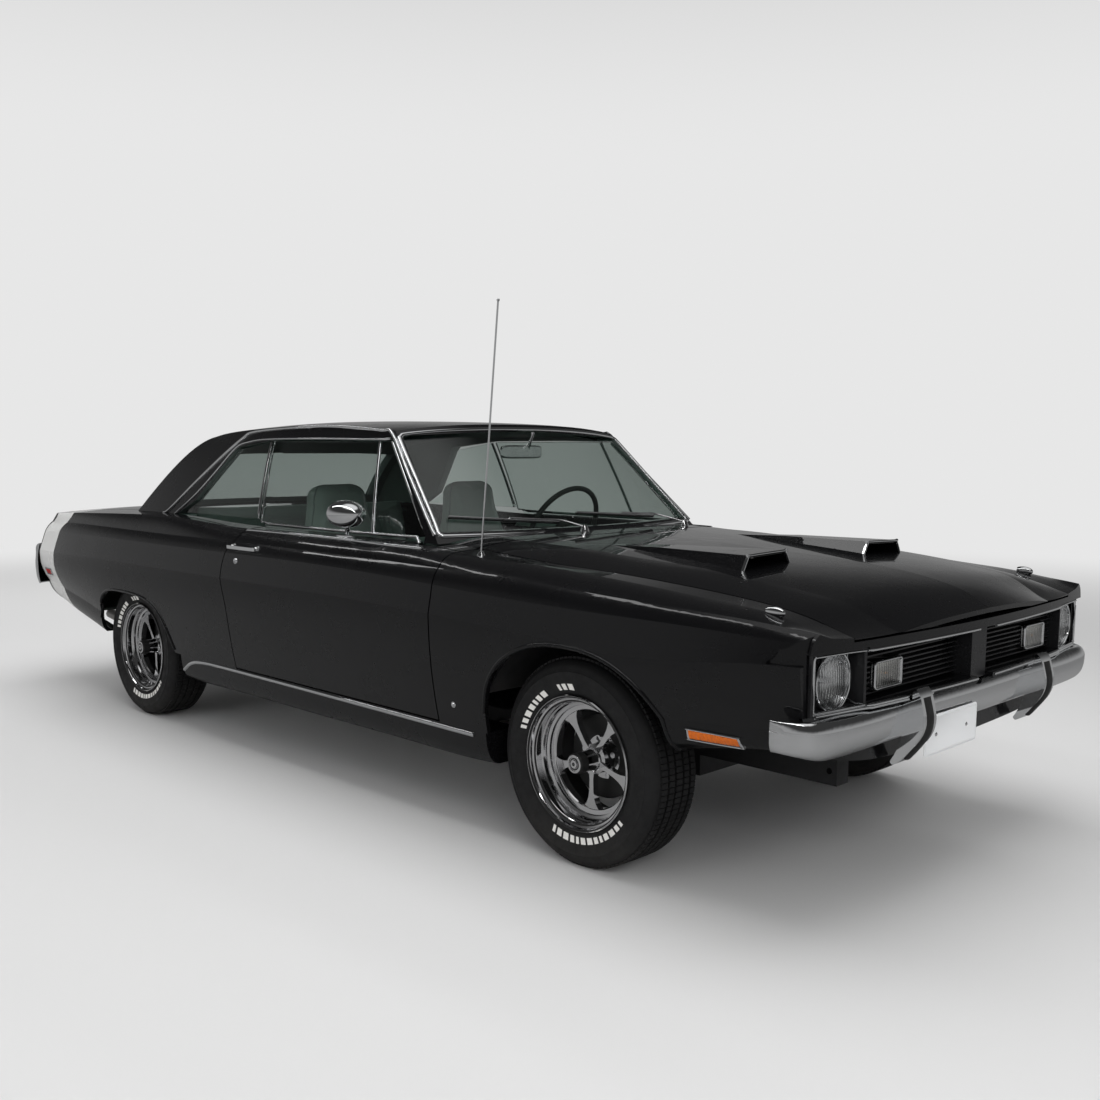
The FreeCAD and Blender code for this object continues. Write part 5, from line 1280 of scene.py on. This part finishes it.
# each pad: slices along an axis (place, low, high, half width), the radius of its ends,
# how square a slice is, and the height below which nothing sags
pads = {"frontCushion": {"axis": "x", "round": 0.045, "square": 5.0, "rest": 0.331, "slices": [
            (-0.150, 0.330, 0.372, 0.200), (-0.090, 0.330, 0.425, 0.214), (-0.055, 0.330, 0.470, 0.220),
            (0.05, 0.330, 0.486, 0.222), (0.18, 0.330, 0.496, 0.222), (0.30, 0.332, 0.502, 0.220),
            (0.354, 0.345, 0.485, 0.214)]},
        "frontBack": {"axis": "z", "round": 0.040, "square": 4.0, "rest": 0.30, "slices": [
            (0.345, -0.235, -0.150, 0.216), (0.47, -0.210, -0.064, 0.222), (0.56, -0.220, -0.082, 0.224),
            (0.70, -0.246, -0.116, 0.221), (0.80, -0.267, -0.138, 0.212), (0.89, -0.280, -0.158, 0.187),
            (0.98, -0.292, -0.178, 0.160), (1.05, -0.293, -0.194, 0.150), (1.085, -0.286, -0.203, 0.133),
            (1.106, -0.275, -0.222, 0.100)]},
        "rearCushion": {"axis": "x", "round": 0.040, "square": 5.0, "rest": 0.293, "slices": [
            (-0.862, 0.352, 0.457, 0.188), (-0.700, 0.325, 0.472, 0.190), (-0.640, 0.296, 0.478, 0.190),
            (-0.50, 0.292, 0.495, 0.190), (-0.430, 0.292, 0.500, 0.188), (-0.409, 0.300, 0.470, 0.184)]},
        "rearBack": {"axis": "z", "round": 0.036, "square": 6.0, "rest": 0.49, "slices": [
            (0.492, -0.976, -0.878, 0.524), (0.56, -0.992, -0.898, 0.526), (0.68, -1.018, -0.928, 0.530),
            (0.73, -1.028, -0.944, 0.600), (0.90, -1.064, -0.994, 0.608), (0.984, -1.058, -1.018, 0.604)]}}
backPiping = [(-0.197, 0.52), (-0.196, 0.70), (-0.184, 0.80), (-0.160, 0.89), (-0.134, 0.98), (-0.122, 1.05),
              (-0.085, 1.082), (0, 1.090)]


def sliceAt(slices, place):
    for near, far in zip(slices, slices[1:]):
        if place <= far[0] or far is slices[-1]:
            share = (place - near[0]) / (far[0] - near[0])
            return [a + (b - a) * share for a, b in zip(near[1:], far[1:])]


def padShape(name):
    pad = pads[name]
    slices, edge, shrink, around = pad["slices"], pad["round"], seats["shrink"], seats["corners"]
    start, end = slices[0][0] + shrink, slices[-1][0] - shrink
    steps = [start + edge * s for s in seats["endSteps"]]
    steps += [start + edge + (end - start - 2 * edge) * k / seats["runs"] for k in range(seats["runs"] + 1)]
    steps += [end - edge * s for s in reversed(seats["endSteps"])]
    mesh = bmesh.new()
    rings = []
    for place in steps:
        low, high, half = sliceAt(slices, place)
        reach = min(place - start, end - place, edge) / edge
        inset = shrink + 0.55 * edge * (1 - math.sqrt(max(0.0, 1 - (1 - reach) ** 2)))
        middle, deep, wide = (low + high) / 2, (high - low) / 2 - inset, half - inset
        ring = []
        for k in range(around):
            turn = math.tau * k / around
            c, s = (math.copysign(abs(value) ** (2 / pad["square"]), value) for value in (math.cos(turn),
                                                                                          math.sin(turn)))
            height, y = middle + c * max(deep, seats["leastDepth"]), s * wide
            ring.append(mesh.verts.new((place, y, height) if pad["axis"] == "x" else (height, y, place)))
        rings.append(ring)
    for near, far in zip(rings, rings[1:]):
        for k in range(around):
            mesh.faces.new((near[k], near[(k + 1) % around], far[(k + 1) % around], far[k]))
    mesh.faces.new(rings[0][::-1])
    mesh.faces.new(rings[-1])
    return addObject(name, dataFrom(mesh, name))


def inflate(piece, rest):
    # cloth under pressure crowns the pad; a cap holds each point near where it began, and the seat's rest
    # stays flat
    selectOnly(piece)
    remesh = piece.modifiers.new("even", "REMESH")
    remesh.mode = "VOXEL"
    remesh.voxel_size = seats["voxel"]
    bpy.ops.object.modifier_apply(modifier="even")
    before = [v.co.copy() for v in piece.data.vertices]
    cloth = piece.modifiers.new("stuffing", "CLOTH")
    cloth.settings.use_pressure = True
    cloth.settings.uniform_pressure_force = seats["pressure"]
    cloth.settings.effector_weights.gravity = 0
    for number in range(1, seats["frames"] + 1):
        bpy.context.scene.frame_set(number)
    bpy.ops.object.modifier_apply(modifier="stuffing")
    bpy.context.scene.frame_set(1)
    for vertex, place in zip(piece.data.vertices, before):
        push = vertex.co - place
        if push.length > seats["cap"]:
            vertex.co = place + push.normalized() * seats["cap"]
        vertex.co.z = max(vertex.co.z, rest)
    applySubdivision(piece, 1)


def sew(piece, facing, rows, crosses, field, depth=seats["pleatDepth"]):
    # presses seams into the side that faces one way: rows at given y, crosses at given places along the pad
    axis = 0 if facing[2] else 2
    low, high, half = field
    moves = []
    mesh = bmesh.new()
    mesh.from_mesh(piece.data)
    for vertex in mesh.verts:
        share = min(1.0, max(0.0, (vertex.normal.dot(Vector(facing)) - 0.25) / 0.35))
        place, y = vertex.co[axis], vertex.co.y
        gaps = []
        if low - 0.002 < place < high + 0.002:
            gaps += [abs(y - row) for row in rows] + [abs(abs(y) - half)]
        if abs(y) < half + 0.002:
            gaps += [abs(place - cross) for cross in crosses]
        if share and gaps:
            press = math.exp(-(min(gaps) / seats["pleatWidth"]) ** 2)
            moves.append((vertex, vertex.normal * (-depth * share * press)))
    for vertex, move in moves:
        vertex.co += move
    mesh.to_mesh(piece.data)
    mesh.free()


def makePad(name, *seams):
    piece = padShape(name)
    inflate(piece, pads[name]["rest"])
    for seam in seams:
        sew(piece, *seam)
    return piece


def copyPad(model, name, shift, replaced=None):
    piece = addObject(name, model.data.copy())
    piece.data.transform(Matrix.Translation(shift))
    settle(piece, "seatVinyl", angle=60)
    if replaced:
        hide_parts(replaced)


def pipeAlong(name, surface, points, push, shift, closed=True):
    places = [(spot + shift, normal) for spot, normal in cast(surface, points, push, -0.0005, 4, closed)]
    moulding(name, [(places, seats["pipe"], seats["pipe"] * 0.55, closed)], "trimVinyl")


def makeFrontSeats(pleats):
    up = (0, 0, 1)
    cushion = makePad("frontCushion", (up, pleats, (-0.02, 0.275), (-0.02, 0.275, 0.150)))
    back = makePad("frontBack", (forward, pleats, (0.50, 0.86), (0.50, 0.86, 0.150)),
                   (backward, (), (0.42, 0.92), (0.42, 0.92, 0.150), 0.003))
    cushionSurface, backSurface = surfaceOf(cushion), surfaceOf(back)
    for name, side in sides.items():
        shift = Vector((0, side * seats["frontY"], 0))
        copyPad(cushion, "frontSeatCushion_" + name, shift, "front_seats" if side > 0 else None)
        copyPad(back, "frontSeatBack_" + name, shift)
        ring = [(x, y, 0.45) for x, y in roundedRing((-0.045, -0.196), (0.325, 0.196), 0.04, 3)]
        pipeAlong("frontCushionPiping_" + name, cushionSurface, ring, down, shift)
        line = [(0, y, z) for y, z in backPiping] + [(0, -y, z) for y, z in reversed(backPiping[:-1])]
        pipeAlong("frontBackPiping_" + name, backSurface, line, backward, shift, False)
        base = box("frontSeatBase_" + name, (0.09, shift.y, 0.3165), (0.42, 0.36, 0.033))
        editWhole(base, (bpy.ops.mesh.bevel, {"offset": 0.008, "segments": 3}))
        settle(base, "dashPlastic")
    return cushion, back


def makeRearSeat(pleats):
    cushion = makePad("rearCushion", ((0, 0, 1), pleats, (-0.80, -0.47), (-0.80, -0.47, 0.140)))
    rows = [side * (seats["rearY"] + pleat) for side in (1, -1) for pleat in pleats] + [0.0]
    back = makePad("rearBack", (forward, rows, (0.56, 0.90), (0.56, 0.90, 0.475)))
    for name, side in sides.items():
        shift = Vector((0, side * seats["rearY"], 0))
        copyPad(cushion, "rearSeatCushion_" + name, shift, "rear_seat" if side > 0 else None)
    copyPad(back, "rearSeatBack", Vector((0, 0, 0)))
    return cushion, back


seatPleats = [seats["pleatGap"] * k for k in range(-3, 4)]
for padModel in (*makeFrontSeats(seatPleats), *makeRearSeat(seatPleats)):
    bpy.data.objects.remove(padModel)
print("seats sewn")


# Door cards, dash, floor shifter

card = {"low": 0.395, "high": 0.893, "rear": -0.262, "front": 0.945, "across": 84, "up": 36,
        "thickness": 0.008, "furthest": 0.80, "missed": 0.78, "stand": 0.012, "pleatFrom": 0.545,
        "pleatTo": 0.765, "pleatRear": -0.20, "pleatFront": 0.86, "pleatGap": 0.045, "pleatDepth": 0.003,
        "pleatWidth": 0.007}
# turned profiles: (radius, distance inwards)
doorParts = {
    "crankBoss": [(0.0, 0.016), (0.010, 0.0155), (0.017, 0.010), (0.021, 0.003), (0.021, -0.002),
                  (0.0, -0.002)],
    "crankKnob": [(0.0, 0.034), (0.009, 0.033), (0.0125, 0.026), (0.0125, 0.012), (0.009, 0.004),
                  (0.005, 0.0), (0.0, 0.0)],
    "latchCup": [(0.0, 0.001), (0.022, 0.001), (0.026, 0.004), (0.030, 0.004), (0.032, 0.0), (0.032, -0.002),
                 (0.0, -0.002)]}


def makeDoorCard(name, side):
    # pleats run up the middle panel, between two level seams
    places = []
    for j in range(card["up"] + 1):
        z = card["low"] + (card["high"] - card["low"]) * j / card["up"]
        row = []
        for i in range(card["across"] + 1):
            x = card["rear"] + (card["front"] - card["rear"]) * i / card["across"]
            spot = hit(doorSurface[name], (x, 0, z), (0, side, 0))
            y = min(card["furthest"], abs(spot.y)) if spot else card["missed"]
            gaps = [abs(z - card["pleatFrom"]), abs(z - card["pleatTo"])]
            if card["pleatRear"] < x < card["pleatFront"] and card["pleatFrom"] < z < card["pleatTo"]:
                offset = (x - card["pleatRear"]) % card["pleatGap"]
                gaps.append(min(offset, card["pleatGap"] - offset))
            y += card["pleatDepth"] * math.exp(-(min(gaps) / card["pleatWidth"]) ** 2) - card["stand"]
            row.append(Vector((x, side * y, z)))
        places.append(row)
    piece = sheetFrom("doorCard_" + name, places, side < 0)
    applyWall(piece, card["thickness"])
    settle(piece, "seatVinyl", "door_" + name, 60)
    return surfaceOf(piece)


def makeDoorInside():
    for name, side in sides.items():
        inner = makeDoorCard(name, side)
        body = "door_" + name

        def onCard(x, z):
            return hit(inner, (x, 0, z), (0, side, 0))

        def turned(kind, spot, steps, finish="chrome"):
            turnPart(kind + "_" + name, doorParts[kind], spot, "y", steps, finish, body, out=-side)

        def rod(kind, spot, steps, radius):
            # steps are along the door, inwards and up from the spot
            line = [(spot.x + along, spot.y - side * inwards, spot.z + up) for along, inwards, up in steps]
            tubeAlong(kind + "_" + name, line, radius, body=body)
            return Vector(line[-1])

        spot = onCard(0.22, 0.60)
        rest = box("armrest_" + name, (spot.x, spot.y - side * 0.022, spot.z), (0.36, 0.048, 0.058))
        editWhole(rest, (bpy.ops.mesh.subdivide, {"number_cuts": 5}))
        for vertex in rest.data.vertices:
            share = abs(vertex.co.x) * 2
            vertex.co.z = vertex.co.z * (1 - 0.3 * share ** 3) + 0.10 * (1 - share ** 2)
        applySubdivision(rest, 2)
        settle(rest, "trimVinyl", body, 60)
        spot = onCard(0.50, 0.60)
        turned("crankBoss", spot, 28)
        end = rod("crankArm", spot, [(0, 0.013, 0), (-0.04, 0.016, 0.028), (-0.082, 0.018, 0.052)], 0.0048)
        turned("crankKnob", end, 24, "dashPlastic")
        spot = onCard(0.44, 0.735)
        turned("latchCup", spot, 32)
        rod("latchPull", spot, [(0.012, 0.005, 0), (-0.02, 0.013, -0.002), (-0.055, 0.013, -0.005)], 0.0052)


dash = {"face": 0.580, "driver": 0.370, "gauges": [(-0.088, 0.838, 0.050), (0.088, 0.838, 0.050),
                                                   (0.0, 0.858, 0.026)],
        "ticks": 12, "tickReach": (0.72, 0.9), "tickWidth": 0.018, "sweep": (-30, 240),
        "knobs": [(-0.10, 0.835), (0.10, 0.835), (0.235, 0.800)],
        "frames": [((-0.075, 0.812), (0.075, 0.858)), ((-0.52, 0.735), (-0.22, 0.862))]}
dashParts = {
    "hub": [(0.0, -0.0085), (0.005, -0.008), (0.006, -0.003), (0.0, -0.002)],
    "knob": [(0.0, -0.024), (0.009, -0.0235), (0.011, -0.020), (0.0115, -0.008), (0.008, -0.004),
             (0.0075, 0.006), (0.0, 0.006)],
    "boot": [(0.0, -0.004), (0.062, -0.004), (0.064, 0.004), (0.050, 0.012), (0.052, 0.019), (0.038, 0.026),
             (0.040, 0.034), (0.026, 0.042), (0.027, 0.049), (0.013, 0.060), (0.0, 0.061)],
    "ball": [(0.0, -0.024), (0.009, -0.022), (0.019, -0.012), (0.0225, 0.0), (0.0205, 0.011), (0.014, 0.019),
             (0.0, 0.023)]}


def makeGauge(name, y, z, radius):
    # bright bezel, sunk black dial with raised ticks, and a needle
    face = dash["face"]
    centre = (face, y, z)
    bezel = [(radius + grow, d) for grow, d in ((0, 0.004), (0.001, -0.006), (0.004, -0.010),
                                                (0.0075, -0.008), (0.009, 0.0), (0.009, 0.006), (0, 0.006),
                                                (0, 0.004))]
    turnPart("gaugeBezel" + name, bezel, centre, steps=48)
    dial = [(0.0, -0.003), (radius * 0.97, -0.003), (radius * 0.97, 0.004), (0.0, 0.004)]
    turnPart("gaugeDial" + name, dial, centre, steps=48, finish="dashPlastic")
    mesh = bmesh.new()
    near, far = dash["tickReach"]
    for k in range(dash["ticks"]):
        turn = math.radians(dash["sweep"][0] + dash["sweep"][1] * k / (dash["ticks"] - 1))
        out = Vector((0, math.cos(turn), math.sin(turn))) * radius
        across = Vector((0, -math.sin(turn), math.cos(turn))) * radius * dash["tickWidth"]
        middle = Vector((face - 0.0032, y, z))
        low = [middle + out * r + across * s for r, s in ((near, -1), (far, -1), (far, 1), (near, 1))]
        addPrism(mesh, low, [spot + Vector((-0.0006, 0, 0)) for spot in low])
    ticks = addObject("gaugeTicks" + name, dataFrom(mesh, "gaugeTicks" + name))
    settle(ticks, "plateWhite", slotName="dash_plastic")
    needle = [(face - 0.006, y, z), (face - 0.006, y + radius * 0.55, z + radius * 0.45)]
    tubeAlong("gaugeNeedle" + name, needle, 0.0011, "needleOrange", perRun=2)
    turnPart("gaugeHub" + name, dashParts["hub"], centre, steps=20, finish="dashPlastic")


def makeShifter():
    foot = hit(surfaceOf("floor_pan"), (0.34, 0, 1.2), down)
    turnPart("shifterBoot", dashParts["boot"], foot, "z", 40, "rubber", angle=50)
    rod = [foot + Vector(step) for step in ((0, 0, 0.055), (-0.010, 0, 0.13), (-0.045, 0, 0.215))]
    tubeAlong("shifterRod", rod, 0.0058)
    top = rod[-1] + Vector((0, 0, 0.014))
    turnPart("shifterKnob", dashParts["ball"], top, "z", 32, "dashPlastic", angle=60)


def makeDash():
    for k, (offset, z, radius) in enumerate(dash["gauges"]):
        makeGauge(str(k + 1), dash["driver"] + offset, z, radius)
    for k, spot in enumerate(dash["knobs"]):
        turnPart("dashKnob" + str(k + 1), dashParts["knob"], (dash["face"], *spot), steps=24)
    surface = surfaceOf("dashboard")
    bars = []
    for low, high in dash["frames"]:
        ring = [(0.2, y, z) for y, z in roundedRing(low, high, 0.012, 3)]
        bars.append(bar(surface, ring, forward, 0.005, 0.004, 2, closed=True))
    moulding("dashTrim", bars)
    edge = [(0.612, y, 0.98) for y in (-0.66, -0.4, 0.0, 0.4, 0.66)]
    moulding("dashPadRoll", [bar(surface, edge, down, 0.036, 0.010, 8)], "dashVinyl")
    makeShifter()


makeDoorInside()
makeDash()
print("cabin fitted")


# Tail: lamp frames and ribs, plate

tail = {"lamps": [(0.252, 0.438), (0.458, 0.644)], "low": 0.624, "high": 0.692, "ribs": 5, "trimWidth": 0.006,
        "start": -2.6, "plateZ": 0.612}


def makeTail():
    lenses = surfaceOf("tail_lamps")
    base, top = tail["low"], tail["high"]
    for name, side in sides.items():
        bars, ribs = [], []
        for lamp in tail["lamps"]:
            near, far = sorted(side * y for y in lamp)
            ring = roundedRing((near + 0.002, base + 0.002), (far - 0.002, top - 0.002), 0.005, 3)
            ring = [(tail["start"], y, z) for y, z in ring]
            bars.append(bar(lenses, ring, forward, tail["trimWidth"], 0.005, 2, closed=True))
            for k in range(1, tail["ribs"]):
                z = base + (top - base) * k / tail["ribs"]
                line = [(tail["start"], near + 0.006 + (far - near - 0.012) * s / 3, z) for s in range(4)]
                ribs.append(bar(lenses, line, forward, 0.004, 0.002, 4))
        moulding("tailLampFrame_" + name, bars)
        moulding("tailLampRibs_" + name, ribs, "redLens")
    spot = hit(surfaceOf("rear_bumper"), (-3, 0, tail["plateZ"]), forward)
    makePlate("rearPlate", spot.x - 0.004, 0.0, tail["plateZ"], -1)


makeTail()
print("tail dressed")
